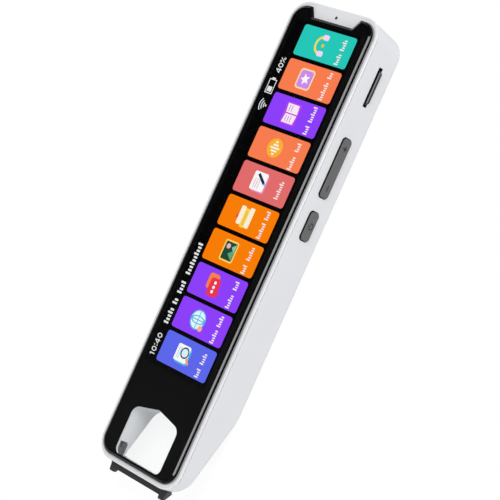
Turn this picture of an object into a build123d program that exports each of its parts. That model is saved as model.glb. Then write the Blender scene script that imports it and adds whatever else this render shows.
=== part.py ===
from build123d import *
from math import atan2, cos
import os

# A handheld translator pen: a flat bar with a long touch screen on its front, a see-through
# viewing window at its scanning tip, keys and a memory card on its right side, and a speaker
# and a camera in its back.  It lies on its back: X is across, with the keys on +X, Y runs along
# the pen with the scanning tip at -Y, and Z comes out of the screen with 0 at the flat back.
# All sizes are in millimetres.  An inset is measured inwards from the named end of the body.

# Body
body_length = 150.0
body_width = 35.7
body_thickness = 15.3
corner_radius = 6.5
back_edge_radius = 1.8
top_draft = 1.6
wall = 1.8
slope_run = 26.3
tip_thickness = 6.3
slope_blend_radius = 15.0

# Glass, the layers under it, and the bezel round it
glass_margin = 1.65
glass_thickness = 1.1
glass_edge_radius = 0.5
glass_proud = 1.1
glass_gap = 0.1
mask_thickness = 0.1
mask_inset = 0.1
tape_thickness = 0.2
tape_inset = 0.15
parting_depth = 1.8
parting_bevel = 0.35
parting_undercut = 0.25
rim_edge_radius = 0.4
ledge_thickness = 1.0
rabbet_lip = 0.8
rabbet_gap = 0.1

# Tab in the glass's top edge, with the microphone hole
tab_inset = 4.6
tab_foot_width = 16.2
tab_head_width = 20.0
tab_corner_radius = 0.8
mic_hole_diameter = 1.0
mic_hole_inset = 2.8
mic_channel_depth = 0.5
mic_channel_run = 1.3

# Display stack
display_side_inset = 3.15
display_top_inset = 5.8
display_tip_inset = 29.6
view_margin = 0.5
view_tip_inset = 31.4
panel_thickness = 1.0
backlight_thickness = 0.8
tray_thickness = 0.3
tray_wall = 0.2
display_gap = 0.1
display_flex_width = 12.0
display_flex_thickness = 0.15
flex_bend_run = 2.2

# Viewing window at the tip and the passage behind it
window_side_inset = 7.77
window_foot_inset = 2.9
window_shoulder_inset = 17.7
window_apex_inset = 20.05
window_head_radius = 2.9
window_foot_radius = 2.0
window_apex_radius = 0.3
passage_margin = 0.82
tower_wall = 1.3
tower_head_wall = 1.8
leg_corner_radius = 2.0

# Scanning tip
tip_front_depth = 4.3
bar_reach = 2.1
bar_inner_inset = 2.4
bar_back_rise = 1.1
bar_heel_inset = 0.2
bar_heel_drop = 2.1
bar_lip = 0.4
reflector_thickness = 0.35
reflector_end_gap = 0.3
foot_reach = 3.2
foot_inner_reach = 1.25
foot_outer_reach = 1.6
foot_flare_run = 0.35
foot_toe_taper = 0.35
foot_toe = 0.7
foot_heel_reach = 0.9
foot_heel_drop = 2.3
foot_corner_radius = 0.4
arm_outer_reach = 1.9
arm_width = 2.2
arm_inset = 5.9
arm_step_inset = 4.5
arm_step = 0.8
arm_shoulder_inset = 2.4
arm_front_depth = 3.1
arm_back_depth = 6.1
ear_width = 2.2
ear_length = 2.0
ear_drop = 2.3
tip_travel = 0.4
tip_gap = 0.1
rod_diameter = 1.0
rod_length = 9.7
rod_offset = 1.0
rod_hole_gap = 0.2
spring_wire = 0.3
spring_diameter = 2.2
spring_pitch = 0.9
spring_end_gap = 0.05
rib_inset = 13.6
rib_thickness = 1.0

# Scanning camera above the window
scan_slot_side_inset = 1.58
scan_slot_height = 3.4
scan_axis_z = 6.4
scan_window_rim = 0.7
scan_window_thickness = 0.8
scan_barrel_diameter = 3.4
scan_barrel_length = 1.4
scan_lens_diameter = 2.0
scan_lens_thickness = 0.4
scan_housing_width = 6.4
scan_housing_height = 5.0
scan_housing_depth = 1.6
scan_board_side_inset = 0.58
scan_board_height = 6.4
scan_board_thickness = 0.6
scan_led_offset = 6.8
scan_led_width = 2.8
scan_led_height = 1.4
scan_led_depth = 1.0
scan_gap = 0.1

# Mid frame and its screws
frame_thickness = 1.1
frame_gap = 0.1
frame_side_gap = 0.2
frame_top_inset = 5.6
frame_tip_inset = 23.4
frame_slot_gap = 0.6
frame_corner_radius = 2.0
screw_side_inset = 4.7
screw_top_inset = 7.5
screw_board_gap = 3.0
screw_tip_inset = 25.7
boss_diameter = 3.6
screw_diameter = 1.4
screw_length = 4.0
screw_head_diameter = 2.4
screw_head_height = 0.6
driver_slot_width = 0.4
driver_slot_depth = 0.3
screw_bore_gap = 0.1
screw_thread_gap = 0.02
screw_sink = 0.05
key_wall_thickness = 0.8
key_wall_gap = 0.1

# Main board and what stands on it
board_thickness = 0.8
board_top_inset = 3.0
board_foot_inset = 68.5
board_side_gap = 0.6
boss_gap = 0.4
processor_size = 11.0
processor_inset = 49.0
processor_x = -4.0
processor_height = 1.0
memory_width = 8.0
memory_length = 6.5
memory_height = 0.9
memory_side_inset = 1.1
memory_key_gap = 4.65
memory_inset = 61.0
power_chip_size = 4.5
power_chip_height = 0.8
power_chip_x = 6.0
power_chip_insets = (55.0, 47.5)
shield_width = 12.0
shield_length = 10.0
shield_height = 1.3
shield_wall = 0.2
shield_x = -7.0
shield_inset = 34.5
connector_width = 10.0
connector_length = 2.6
connector_height = 0.5
connector_x = 0.0
connector_inset = 1.4

# Battery
battery_side_inset = 3.5
battery_tip_inset = 30.9
battery_board_gap = 6.1
battery_thickness = 6.6
battery_edge_radius = 1.6
battery_tape_thickness = 0.2
battery_tape_width = 18.0
battery_lead_width = 3.6
battery_lead_thickness = 0.8
battery_lead_inset = 5.5
battery_lead_run = 4.0

# Speaker in the back
slot_inset = 16.25
slot_pair_pitch = 7.75
slot_pitch = 3.3
slot_width = 2.2
slot_length = 11.5
slot_nose = 1.1
slot_depth = 1.1
vent_width = 1.0
vent_length = 6.7
mesh_thickness = 0.15
mesh_margin = 0.8
gasket_thickness = 0.45
gasket_rim = 1.4
speaker_side_inset = 5.0
speaker_length = 13.6
speaker_height = 3.0
speaker_edge_radius = 1.0

# Camera in the back
camera_inset = 31.2
camera_ring_diameter = 11.8
camera_ring_proud = 0.3
camera_ring_height = 2.1
camera_ring_edge = 0.25
camera_face_diameter = 10.5
camera_face_thickness = 0.8
camera_face_recess = 0.1
camera_throat_diameter = 7.8
camera_lens_diameter = 3.8
camera_lens_rise = 0.5
camera_cone_depth = 1.3
camera_barrel_rim = 0.5
camera_barrel_recess = 0.2
camera_ring_step = 0.45
camera_fit_gap = 0.05
camera_housing_size = 11.0
camera_housing_height = 3.6

# Microphone behind the tab
mic_width = 3.5
mic_length = 2.6
mic_height = 1.0
boot_width = 4.6
boot_length = 3.0

# Charging socket in the top end
usb_width = 9.0
usb_height = 3.2
usb_length = 7.2
usb_wall = 0.3
usb_tongue_width = 6.6
usb_tongue_thickness = 0.7
usb_tongue_length = 5.4
usb_opening_gap = 0.15
usb_inset = 0.15

# Memory card and its socket, on the right side
card_inset = 18.1
card_slot_depth = 8.3
card_slot_length = 12.5
card_slot_radius = 0.15
card_slot_height = 1.8
card_width = 11.0
card_length = 15.0
card_thickness = 1.0
card_drop = 0.3
card_proud = 0.6
card_corner_radius = 0.8
card_notch = 0.9
card_gap = 0.1
socket_width = 13.4
socket_length = 13.6
socket_wall = 0.35

# Side keys
key_depth = 7.65
key_height = 3.86
key_corner_radius = 1.0
key_gap = 0.36
key_proud = 0.55
key_edge_radius = 0.25
key_flange = 0.65
key_flange_thickness = 0.6
key_flange_gap = 0.1
volume_top_inset = 34.98
volume_length = 18.5
volume_switch_offset = 6.4
rocker_hub_width = 2.4
rocker_pin_diameter = 1.0
rocker_pin_gap = 0.04
rocker_pin_inset = 3.0
rocker_ear_height = 1.2
rocker_ear_gap = 0.15
rocker_ear_width = 2.8
power_top_inset = 58.38
power_length = 8.8
power_travel = 0.35
switch_width = 3.2
switch_height = 2.4
switch_depth = 1.5
plunger_diameter = 1.3
plunger_length = 0.45
plunger_inset = 3.5
plunger_gap = 0.06
stem_width = 1.8
rocker_stroke = 0.25
key_board_thickness = 0.4
key_board_height = 5.0
key_board_margin = 2.4

# Wireless antenna on the left wall
antenna_thickness = 0.2
antenna_length = 18.0
antenna_height = 5.0
antenna_inset = 25.0
antenna_z = 5.5
antenna_slit = 0.6

# ----- Places worked out from the sizes above -----
half_width = body_width / 2
top_y = body_length / 2
tip_y = -body_length / 2
slope_start_y = tip_y + slope_run
slope_rise = body_thickness - tip_thickness
slope_angle = atan2(slope_rise, slope_run)
inner_x = half_width - wall
window_width = body_width - 2 * window_side_inset
display_width = body_width - 2 * display_side_inset

glass_low = body_thickness - glass_thickness
mask_low = glass_low - mask_thickness
ledge_top = mask_low - tape_thickness
ledge_low = ledge_top - ledge_thickness
rim_z = body_thickness - glass_proud
parting_z = body_thickness - parting_depth
panel_low = mask_low - panel_thickness
backlight_low = panel_low - backlight_thickness
tray_low = backlight_low - tray_thickness
frame_top = tray_low - frame_gap
frame_low = frame_top - frame_thickness
tower_top = ledge_low - rabbet_gap

card_z = body_thickness - card_slot_depth
card_y = top_y - card_inset
board_low = card_z + card_slot_height / 2
board_top = board_low + board_thickness

display_top_y = top_y - display_top_inset
display_tip_y = tip_y + display_tip_inset
passage_x = window_width / 2 + passage_margin
passage_foot_y = tip_y + window_foot_inset - passage_margin
tower_x = passage_x + tower_wall
foot_inner_x = passage_x - foot_inner_reach
foot_outer_x = passage_x + foot_outer_reach
arm_outer_x = passage_x + arm_outer_reach
rod_axis_x = arm_outer_x + rod_offset
scan_slot_width = window_width - 2 * scan_slot_side_inset
scan_board_width = window_width - 2 * scan_board_side_inset
tower_head_y = tip_y + window_apex_inset + passage_margin + tower_head_wall

key_z = body_thickness - key_depth
volume_y = top_y - volume_top_inset - volume_length / 2
power_y = top_y - power_top_inset - power_length / 2
camera_y = top_y - camera_inset
slot_y = top_y - slot_inset
board_foot_y = top_y - board_foot_inset
battery_head_y = board_foot_y - battery_board_gap
screw_x = half_width - screw_side_inset
screw_y = (top_y - screw_top_inset, board_foot_y - screw_board_gap, tip_y + screw_tip_inset)

os.makedirs("parts", exist_ok=True)


def top_end(z):
    """Y of the drafted top end at height z: it leans inwards towards the back."""
    return top_y - top_draft * (parting_z - z) / parting_z


def slope_z(y, inset=0.0):
    """Height of the sloping back at y, moved inwards by inset."""
    return (slope_start_y - y) * slope_rise / slope_run + inset / cos(slope_angle)


def slope_y(z):
    """Y where the sloping back stands at height z."""
    return slope_start_y - z * slope_run / slope_rise


def block(x, y, z, mode=Mode.ADD):
    """A box that fills the three ranges, each given as (low, high), in the part being built."""
    middle = ((x[0] + x[1]) / 2, (y[0] + y[1]) / 2, (z[0] + z[1]) / 2)
    with Locations(middle):
        Box(x[1] - x[0], y[1] - y[0], z[1] - z[0], mode=mode)


def around(middle, size):
    """The range of the given size about its middle."""
    return (middle - size / 2, middle + size / 2)


def plan(inset):
    """The body's front outline, moved inwards by inset."""
    with BuildSketch(mode=Mode.PRIVATE) as outline:
        RectangleRounded(body_width - 2 * inset, body_length - 2 * inset, corner_radius - inset)
    return outline.sketch


def body_form(inset):
    """The body up to the parting line, moved inwards by inset on its sides, ends and back."""
    with BuildPart(mode=Mode.PRIVATE) as form:
        for z in (inset, parting_z):
            end = top_end(z)
            with BuildSketch(Plane.XY.offset(z)):
                with Locations((0, (end + tip_y) / 2)):
                    RectangleRounded(body_width - 2 * inset, end - tip_y - 2 * inset, corner_radius - inset)
        loft()
        below = -body_thickness
        beyond = tip_y - body_thickness
        raise_by = inset / cos(slope_angle)
        with BuildSketch(Plane.YZ):
            with BuildLine():
                Polyline(
                    (beyond, below),
                    (slope_y(below - raise_by), below),
                    (beyond, slope_z(beyond, inset)),
                    close=True,
                )
            make_face()
        extrude(amount=body_width, both=True, mode=Mode.SUBTRACT)
    return form.part


def window_shape(margin):
    """The window's house-shaped outline, moved outwards by margin."""
    x = window_width / 2 + margin
    foot = tip_y + window_foot_inset - margin
    shoulder = tip_y + window_shoulder_inset + margin
    apex = tip_y + window_apex_inset + margin
    with BuildSketch(mode=Mode.PRIVATE) as shape:
        with BuildLine():
            Polyline((-x, foot), (x, foot), (x, shoulder), (0, apex), (-x, shoulder), close=True)
        make_face()
        corners = shape.vertices().sort_by(Axis.Y)
        fillet(corners[:2], window_foot_radius + margin)
        corners = shape.vertices().sort_by(Axis.Y)
        fillet(corners[-1], window_apex_radius)
        corners = [v for v in shape.vertices() if abs(v.Y - shoulder) < 0.001]
        fillet(corners, window_head_radius + margin)
    return shape.sketch


def tab_shape(margin):
    """The trapezium at the top edge of the glass, moved outwards by margin."""
    foot = top_y - tab_inset - margin
    head = top_y - glass_margin
    foot_x = tab_foot_width / 2 + margin
    head_x = tab_head_width / 2 + margin
    lean = (head_x - foot_x) / (head - foot)
    past = head + glass_margin / 2
    past_x = head_x + lean * glass_margin / 2
    with BuildSketch(mode=Mode.PRIVATE) as shape:
        with BuildLine():
            Polyline((-foot_x, foot), (foot_x, foot), (past_x, past), (-past_x, past), close=True)
        make_face()
        fillet(shape.vertices().sort_by(Axis.Y)[:2], tab_corner_radius)
    return shape.sketch


def glass_shape(inset):
    """The glass's outline with its notch for the tab, moved inwards by inset."""
    with BuildSketch(mode=Mode.PRIVATE) as shape:
        add(plan(glass_margin + inset))
        add(tab_shape(glass_gap + inset), mode=Mode.SUBTRACT)
    return shape.sketch


# ----- Body and front -----
def outer_form():
    """The body with its crease and the whole edge round its back rounded off."""
    with BuildPart(mode=Mode.PRIVATE) as form:
        add(body_form(0))
        crease = form.edges().filter_by(Axis.X).sort_by(Axis.Z)[0:2].sort_by(Axis.Y)[0]
        fillet(crease, slope_blend_radius)
        backs = [face for face in form.faces() if face.normal_at().Z < -0.5]
        sides = [face for face in form.faces() if abs(face.normal_at().Z) <= 0.5]
        side_edges = [edge for face in sides for edge in face.edges()]
        rim = [edge for face in backs for edge in face.edges() if edge in side_edges]
        fillet(rim, back_edge_radius)
    return form.part


outside = outer_form()
window_face = window_shape(0)
passage_face = window_shape(passage_margin)

slot_top = body_thickness - tip_front_depth + tip_gap
arm_slot_low = body_thickness - arm_back_depth - tip_gap
arm_slot_top = body_thickness - arm_front_depth + tip_gap
arm_slot_x = arm_outer_x + tip_gap
arm_slot_end = tip_y + arm_inset + tip_travel + tip_gap
arm_slot_start = tip_y + arm_shoulder_inset - tip_gap
rod_z = body_thickness - arm_front_depth - ear_drop / 2
rib_y = tip_y + rib_inset
boss_places = [(side * screw_x, y) for y in screw_y for side in (-1, 1)]
rod_end_y = tip_y + arm_inset + rod_length
tip_switch_y = rod_end_y + tip_travel + plunger_gap + plunger_length
switch_rib_y = tip_switch_y + switch_depth
camera_hole_radius = camera_ring_diameter / 2
usb_z = board_low - usb_height / 2
usb_mouth_y = top_end(usb_z) - usb_inset
mic_y = top_y - mic_hole_inset - mic_channel_run
power_face = (power_length, key_height)
volume_face = (volume_length, key_height)
rocker_pin_x = half_width - rocker_pin_inset
rocker_ear_low = key_height / 2 + rocker_ear_gap


def leg_opening(gap):
    """The space between the legs at the tip, less a gap all round, flaring at each leg's corner."""
    x = passage_x - gap
    centre_y = tip_y + leg_corner_radius
    flare = (passage_x + leg_corner_radius, tip_y - gap)
    beyond = tip_y - wall
    head = passage_foot_y + window_foot_radius + passage_margin
    with BuildSketch(mode=Mode.PRIVATE) as opening:
        with BuildLine():
            Polyline((0, head), (x, head), (x, centre_y))
            TangentArc((x, centre_y), flare, tangent=(0, -1))
            Polyline(flare, (flare[0], beyond), (0, beyond))
            mirror(about=Plane.YZ)
        make_face()
    return opening.sketch


def side_opening(y, z, size, radius):
    """Cuts a rounded opening through the right-hand wall, centred on (y, z)."""
    with BuildSketch(Plane.YZ.offset(inner_x - wall)) as opening:
        with Locations((y, z)):
            RectangleRounded(size[0], size[1], radius)
    extrude(opening.sketch, amount=3 * wall, mode=Mode.SUBTRACT)


def slot_outline():
    """One speaker slot: a long narrow shape with pointed ends."""
    half = slot_length / 2
    shoulder = half - slot_nose
    x = slot_width / 2
    nose = x / 2
    with BuildSketch(mode=Mode.PRIVATE) as outline:
        with BuildLine():
            Polyline(
                (-x, -shoulder),
                (-nose, -half),
                (nose, -half),
                (x, -shoulder),
                (x, shoulder),
                (nose, half),
                (-nose, half),
                (-x, shoulder),
                close=True,
            )
        make_face()
    return outline.sketch


def slot_cutter(side):
    """A slot's hollow: a floor that slopes in from one long edge to the vent along the other."""
    outer = side * slot_width / 2
    vent = side * (slot_width / 2 - vent_width)
    with BuildPart(mode=Mode.PRIVATE) as cutter:
        with BuildSketch():
            add(slot_outline())
        extrude(amount=slot_depth)
        with BuildSketch(Plane.XZ):
            with BuildLine():
                Polyline((-outer, 0), (outer, 0), (outer, slot_depth), (vent, slot_depth), close=True)
            make_face()
        extrude(amount=slot_length, both=True, mode=Mode.INTERSECT)
        vent_middle = (outer + vent) / 2
        block(around(vent_middle, vent_width), around(0, vent_length), (0, 2 * wall))
    return cutter.part


def parting_ring():
    """The ring that is cut off the shell's outer edge to bevel it at the parting line."""
    with BuildPart(mode=Mode.PRIVATE) as ring:
        with BuildSketch(Plane.XY.offset(parting_z - parting_bevel)):
            add(plan(-wall))
        extrude(amount=parting_bevel)
        with BuildSketch(Plane.XY.offset(parting_z - parting_bevel)) as rim:
            add(plan(0))
        extrude(rim.sketch, amount=parting_bevel, taper=45, mode=Mode.SUBTRACT)
    return ring.part


# Walls that stand inside the rear shell: the tower round the window's passage, the ribs that
# carry the tip's springs, and the rib behind the tip's switch.
with BuildPart() as tower:
    block((-tower_x, tower_x), (tip_y, tower_head_y), (0, tower_top))
    for side in (-1, 1):
        near, far = sorted((side * (tower_x - rib_thickness / 2), side * (inner_x + wall / 2)))
        block((near, far), (rib_y, rib_y + rib_thickness), (0, tower_top))
    right = (tower_x - rib_thickness / 2, inner_x + wall / 2)
    block(right, (switch_rib_y, switch_rib_y + rib_thickness), (0, tower_top))
    add(outside, mode=Mode.INTERSECT)

# The rear shell: moulded back and sides in one, open at the front, with a U-shaped opening at
# the tip that the scanning bar closes.
with BuildPart() as rear_shell:
    add(outside)
    add(body_form(wall), mode=Mode.SUBTRACT)
    add(tower.part)
    with Locations([(x, y, (wall / 2 + frame_low) / 2) for x, y in boss_places]):
        Cylinder(boss_diameter / 2, frame_low - wall / 2)
    with Locations([(x, y, frame_low) for x, y in boss_places]):
        Hole(screw_diameter / 2 + screw_thread_gap, depth=screw_length)
    for side in (-1, 1):
        ear_z = key_z + side * (rocker_ear_low + rocker_ear_height / 2)
        ear_x = (rocker_pin_x - rocker_ear_height, inner_x + wall / 2)
        block(ear_x, around(volume_y, rocker_ear_width), around(ear_z, rocker_ear_height))
    with Locations((rocker_pin_x, volume_y, key_z)):
        Cylinder(rocker_pin_diameter / 2, 2 * (rocker_ear_low + rocker_ear_height), mode=Mode.SUBTRACT)
    with BuildSketch(Plane.XY.offset(tower_top)):
        add(plan(rabbet_lip))
    extrude(amount=parting_z - tower_top, mode=Mode.SUBTRACT)
    with BuildSketch(Plane.XY.offset(-wall)):
        add(passage_face)
    extrude(amount=body_thickness + wall, mode=Mode.SUBTRACT)
    with BuildSketch(Plane.XY.offset(-wall)):
        add(leg_opening(0))
    extrude(amount=slot_top + wall, mode=Mode.SUBTRACT)
    slot_x = (-arm_slot_x, arm_slot_x)
    block(slot_x, (tip_y - wall, arm_slot_start), (arm_slot_low, slot_top), Mode.SUBTRACT)
    block(slot_x, (arm_slot_start, arm_slot_end), (arm_slot_low, arm_slot_top), Mode.SUBTRACT)
    rod_places = [(side * rod_axis_x, rib_y + rib_thickness / 2, rod_z) for side in (-1, 1)]
    with Locations(*rod_places):
        rod_bore = rod_diameter / 2 + rod_hole_gap
        Cylinder(rod_bore, 2 * rib_thickness, rotation=(90, 0, 0), mode=Mode.SUBTRACT)
    scan_slot_y = (tip_y + window_shoulder_inset - scan_slot_height, tower_head_y + wall / 2)
    block(around(0, scan_slot_width), scan_slot_y, around(scan_axis_z, scan_slot_height), Mode.SUBTRACT)
    for pair in (-1, 0, 1):
        for side in (-1, 1):
            slot_x = pair * slot_pair_pitch + side * slot_pitch / 2
            with Locations((slot_x, slot_y, 0)):
                add(slot_cutter(side), mode=Mode.SUBTRACT)
    with Locations((0, camera_y, 0)):
        Cylinder(camera_hole_radius, 4 * wall, mode=Mode.SUBTRACT)
    side_opening(card_y, card_z, (card_slot_length, card_slot_height), card_slot_radius)
    opening = (volume_length + 2 * key_gap, key_height + 2 * key_gap)
    side_opening(volume_y, key_z, opening, key_corner_radius + key_gap)
    opening = (power_length + 2 * key_gap, key_height + 2 * key_gap)
    side_opening(power_y, key_z, opening, key_corner_radius + key_gap)
    with BuildSketch(Plane.XZ.offset(-top_y)):
        with Locations((0, usb_z)):
            SlotOverall(usb_width + 2 * usb_opening_gap, usb_height + 2 * usb_opening_gap)
    extrude(amount=3 * wall, mode=Mode.SUBTRACT)
    add(parting_ring(), mode=Mode.SUBTRACT)
rear_shell.part.label = "rear_shell"
export_step(rear_shell.part, "parts/rear_shell.step")

display_open_x = display_width / 2 + tray_wall + 2 * display_gap
display_open_y = (display_tip_y - 2 * display_gap, display_top_y + 2 * display_gap)
flex_x = (-display_flex_width / 2, display_flex_width / 2)
flex_z = panel_low + display_gap
flex_y = display_tip_y - flex_bend_run

# The front bezel: the frame round the glass, with the ledge that the glass is bonded to, the
# plate round the window, and the tab with the microphone hole.
with BuildPart() as front_bezel:
    with BuildSketch(Plane.XY.offset(ledge_low)):
        add(plan(rabbet_lip + rabbet_gap))
    extrude(amount=parting_z - ledge_low)
    with BuildSketch(Plane.XY.offset(parting_z)):
        add(plan(0))
    extrude(amount=rim_z - parting_z)
    fillet(front_bezel.faces().sort_by(Axis.Z)[-1].edges(), rim_edge_radius)
    underside = front_bezel.faces().filter_by(Axis.Z).group_by(Axis.Z)[1]
    chamfer(underside[0].outer_wire().edges(), parting_undercut)
    with BuildSketch(Plane.XY.offset(ledge_top)):
        add(plan(glass_margin - glass_gap))
        add(tab_shape(0), mode=Mode.SUBTRACT)
    extrude(amount=rim_z - ledge_top, mode=Mode.SUBTRACT)
    block((-display_open_x, display_open_x), display_open_y, (ledge_low, ledge_top), Mode.SUBTRACT)
    with BuildSketch(Plane.XY.offset(ledge_low)):
        add(passage_face)
    extrude(amount=ledge_thickness, mode=Mode.SUBTRACT)
    with Locations((0, top_y - mic_hole_inset, (ledge_low + rim_z) / 2)):
        Cylinder(mic_hole_diameter / 2, rim_z - ledge_low, mode=Mode.SUBTRACT)
    channel_y = (mic_y - mic_hole_diameter / 2, top_y - mic_hole_inset + mic_hole_diameter / 2)
    channel_z = (ledge_low, ledge_low + mic_channel_depth)
    block(around(0, mic_hole_diameter), channel_y, channel_z, Mode.SUBTRACT)
    pocket_x = (flex_x[0] - frame_slot_gap, flex_x[1] + frame_slot_gap)
    pocket_z = (ledge_low, flex_z + 2 * display_flex_thickness)
    block(pocket_x, (flex_y - frame_slot_gap, display_open_y[0]), pocket_z, Mode.SUBTRACT)
front_bezel.part.label = "front_bezel"
export_step(front_bezel.part, "parts/front_bezel.step")

# The cover glass, with a softly rounded edge and a notch for the tab.
with BuildPart() as cover_glass:
    with BuildSketch(Plane.XY.offset(glass_low)):
        add(glass_shape(0))
    extrude(amount=glass_thickness)
    fillet(cover_glass.faces().sort_by(Axis.Z)[-1].edges(), glass_edge_radius)
cover_glass.part.label = "cover_glass"
export_step(cover_glass.part, "parts/cover_glass.step")

view_x = display_width / 2 - view_margin
view_y = (tip_y + view_tip_inset, display_top_y - view_margin)

# The black mask printed on the back of the glass, open at the screen and at the window.
with BuildPart() as black_mask:
    with BuildSketch(Plane.XY.offset(mask_low)):
        add(glass_shape(mask_inset))
        add(window_face, mode=Mode.SUBTRACT)
    extrude(amount=mask_thickness)
    block((-view_x, view_x), view_y, (mask_low, glass_low), Mode.SUBTRACT)
black_mask.part.label = "black_mask"
export_step(black_mask.part, "parts/black_mask.step")

# The clear adhesive that fills the mask's opening between the glass and the display.
with BuildPart() as optical_adhesive:
    block((-view_x, view_x), view_y, (mask_low, glass_low))
optical_adhesive.part.label = "optical_adhesive"
export_step(optical_adhesive.part, "parts/optical_adhesive.step")

# The foam tape that bonds the glass to the bezel's ledge and to the plate round the window.
with BuildPart() as glass_tape:
    with BuildSketch(Plane.XY.offset(ledge_top)):
        add(glass_shape(tape_inset))
        add(passage_face, mode=Mode.SUBTRACT)
    extrude(amount=tape_thickness)
    block((-display_open_x, display_open_x), display_open_y, (ledge_top, mask_low), Mode.SUBTRACT)
glass_tape.part.label = "glass_tape"
export_step(glass_tape.part, "parts/glass_tape.step")

# ----- Display stack -----
panel_x = (-display_width / 2, display_width / 2)
panel_y = (display_tip_y, display_top_y)

with BuildPart() as display_panel:
    block(panel_x, panel_y, (panel_low, mask_low))
display_panel.part.label = "display_panel"
export_step(display_panel.part, "parts/display_panel.step")

# The backlight, set in from the panel all round.
with BuildPart() as backlight:
    inner_panel_x = (panel_x[0] + tray_wall, panel_x[1] - tray_wall)
    inner_panel_y = (panel_y[0] + tray_wall, panel_y[1] - tray_wall)
    block(inner_panel_x, inner_panel_y, (backlight_low, panel_low))
backlight.part.label = "backlight"
export_step(backlight.part, "parts/backlight.step")

# The pressed steel tray under the backlight, with a low wall along each long side.
with BuildPart() as display_tray:
    tray_x = display_width / 2 + display_gap / 2
    block((-tray_x - tray_wall, tray_x + tray_wall), panel_y, (tray_low, backlight_low))
    for side in (-1, 1):
        near, far = sorted((side * tray_x, side * (tray_x + tray_wall)))
        block((near, far), panel_y, (backlight_low, panel_low + panel_thickness / 2))
display_tray.part.label = "display_tray"
export_step(display_tray.part, "parts/display_tray.step")

# The display's ribbon: out of the panel's foot, down through the mid frame, and back under it.
connector_y = board_foot_y + connector_inset
ribbon_z = board_top + connector_height
with BuildPart() as display_flex:
    thick = display_flex_thickness
    block(flex_x, (flex_y, display_tip_y), (flex_z, flex_z + thick))
    block(flex_x, (flex_y, flex_y + thick), (ribbon_z, flex_z))
    block(flex_x, (flex_y, connector_y + connector_length), (ribbon_z, ribbon_z + thick))
display_flex.part.label = "display_flex"
export_step(display_flex.part, "parts/display_flex.step")

# ----- Mid frame -----
key_board_foot = power_y - power_length / 2 - key_board_margin
key_board_y = (key_board_foot, volume_y + volume_length / 2 + key_board_margin)
plunger_tip_x = half_width - plunger_inset
switch_face_x = plunger_tip_x - plunger_length
key_board_face_x = switch_face_x - switch_depth
key_wall_x = key_board_face_x - key_board_thickness - key_wall_gap

# The mid frame: a moulded plate that carries the display, screwed to the shell's posts, with a
# wall that backs the side keys' board.
with BuildPart() as mid_frame:
    frame_x = inner_x - frame_side_gap
    frame_y = (tip_y + frame_tip_inset, top_y - frame_top_inset)
    block((-frame_x, frame_x), frame_y, (frame_low, frame_top))
    top_corners = mid_frame.edges().filter_by(Axis.Z).group_by(Axis.Y)[-1]
    fillet(top_corners, frame_corner_radius)
    key_wall_low = key_z - key_board_height / 2
    block((key_wall_x - key_wall_thickness, key_wall_x), key_board_y, (key_wall_low, frame_low))
    slot_range = (flex_y - frame_slot_gap, flex_y + display_flex_thickness + frame_slot_gap)
    block(pocket_x, slot_range, (frame_low, frame_top), Mode.SUBTRACT)
    notch_x = (rocker_pin_x - rocker_ear_height - frame_side_gap, frame_x)
    notch_y = around(volume_y, rocker_ear_width + 2 * frame_side_gap)
    block(notch_x, notch_y, (frame_low, frame_top), Mode.SUBTRACT)
    with Locations([(x, y, frame_top) for x, y in boss_places]):
        CounterBoreHole(
            radius=screw_diameter / 2 + screw_bore_gap,
            counter_bore_radius=screw_head_diameter / 2 + screw_bore_gap,
            counter_bore_depth=screw_head_height + screw_sink,
            depth=frame_thickness,
        )
mid_frame.part.label = "mid_frame"
export_step(mid_frame.part, "parts/mid_frame.step")

# The six screws that hold the mid frame down, each with a slotted head.
head_low = frame_top - screw_sink - screw_head_height
with BuildPart() as frame_screws:
    for x, y in boss_places:
        with Locations((x, y, head_low + screw_head_height / 2)):
            Cylinder(screw_head_diameter / 2, screw_head_height)
        with Locations((x, y, head_low - screw_length / 2 + screw_sink)):
            Cylinder(screw_diameter / 2, screw_length)
        head_top = head_low + screw_head_height
        slot_z = (head_top - driver_slot_depth, head_top)
        block(around(x, screw_head_diameter), around(y, driver_slot_width), slot_z, Mode.SUBTRACT)
frame_screws.part.label = "frame_screws"
export_step(frame_screws.part, "parts/frame_screws.step")

# ----- Main board -----
board_x = inner_x - board_side_gap
board_head_y = top_y - board_top_inset
key_region_x = key_wall_x - key_wall_thickness - key_wall_gap

# The main board, cut back beside the keys and round the two top posts.
with BuildPart() as main_board:
    block((-board_x, board_x), (board_foot_y, board_head_y), (board_low, board_top))
    level = (board_low, board_top)
    block((key_region_x, board_x), (board_foot_y, key_board_y[1] + key_wall_gap), level, Mode.SUBTRACT)
    corner_x = screw_x - boss_diameter / 2 - boss_gap
    corner_y = screw_y[0] - boss_diameter / 2 - boss_gap
    for side in (-1, 1):
        near, far = sorted((side * corner_x, side * board_x))
        block((near, far), (corner_y, board_head_y), level, Mode.SUBTRACT)
main_board.part.label = "main_board"
export_step(main_board.part, "parts/main_board.step")


def on_board(x, y, width, length, height):
    """A chip on top of the main board."""
    block(around(x, width), around(y, length), (board_top, board_top + height))


with BuildPart() as processor:
    processor_y = top_y - processor_inset
    on_board(processor_x, processor_y, processor_size, processor_size, processor_height)
processor.part.label = "processor"
export_step(processor.part, "parts/processor.step")

with BuildPart() as memory_chips:
    left_x = -board_x + memory_side_inset + memory_width / 2
    right_x = key_region_x - memory_key_gap - memory_width / 2
    for x in (left_x, right_x):
        on_board(x, top_y - memory_inset, memory_width, memory_length, memory_height)
memory_chips.part.label = "memory_chips"
export_step(memory_chips.part, "parts/memory_chips.step")

with BuildPart() as power_chips:
    for inset in power_chip_insets:
        on_board(power_chip_x, top_y - inset, power_chip_size, power_chip_size, power_chip_height)
power_chips.part.label = "power_chips"
export_step(power_chips.part, "parts/power_chips.step")

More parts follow.
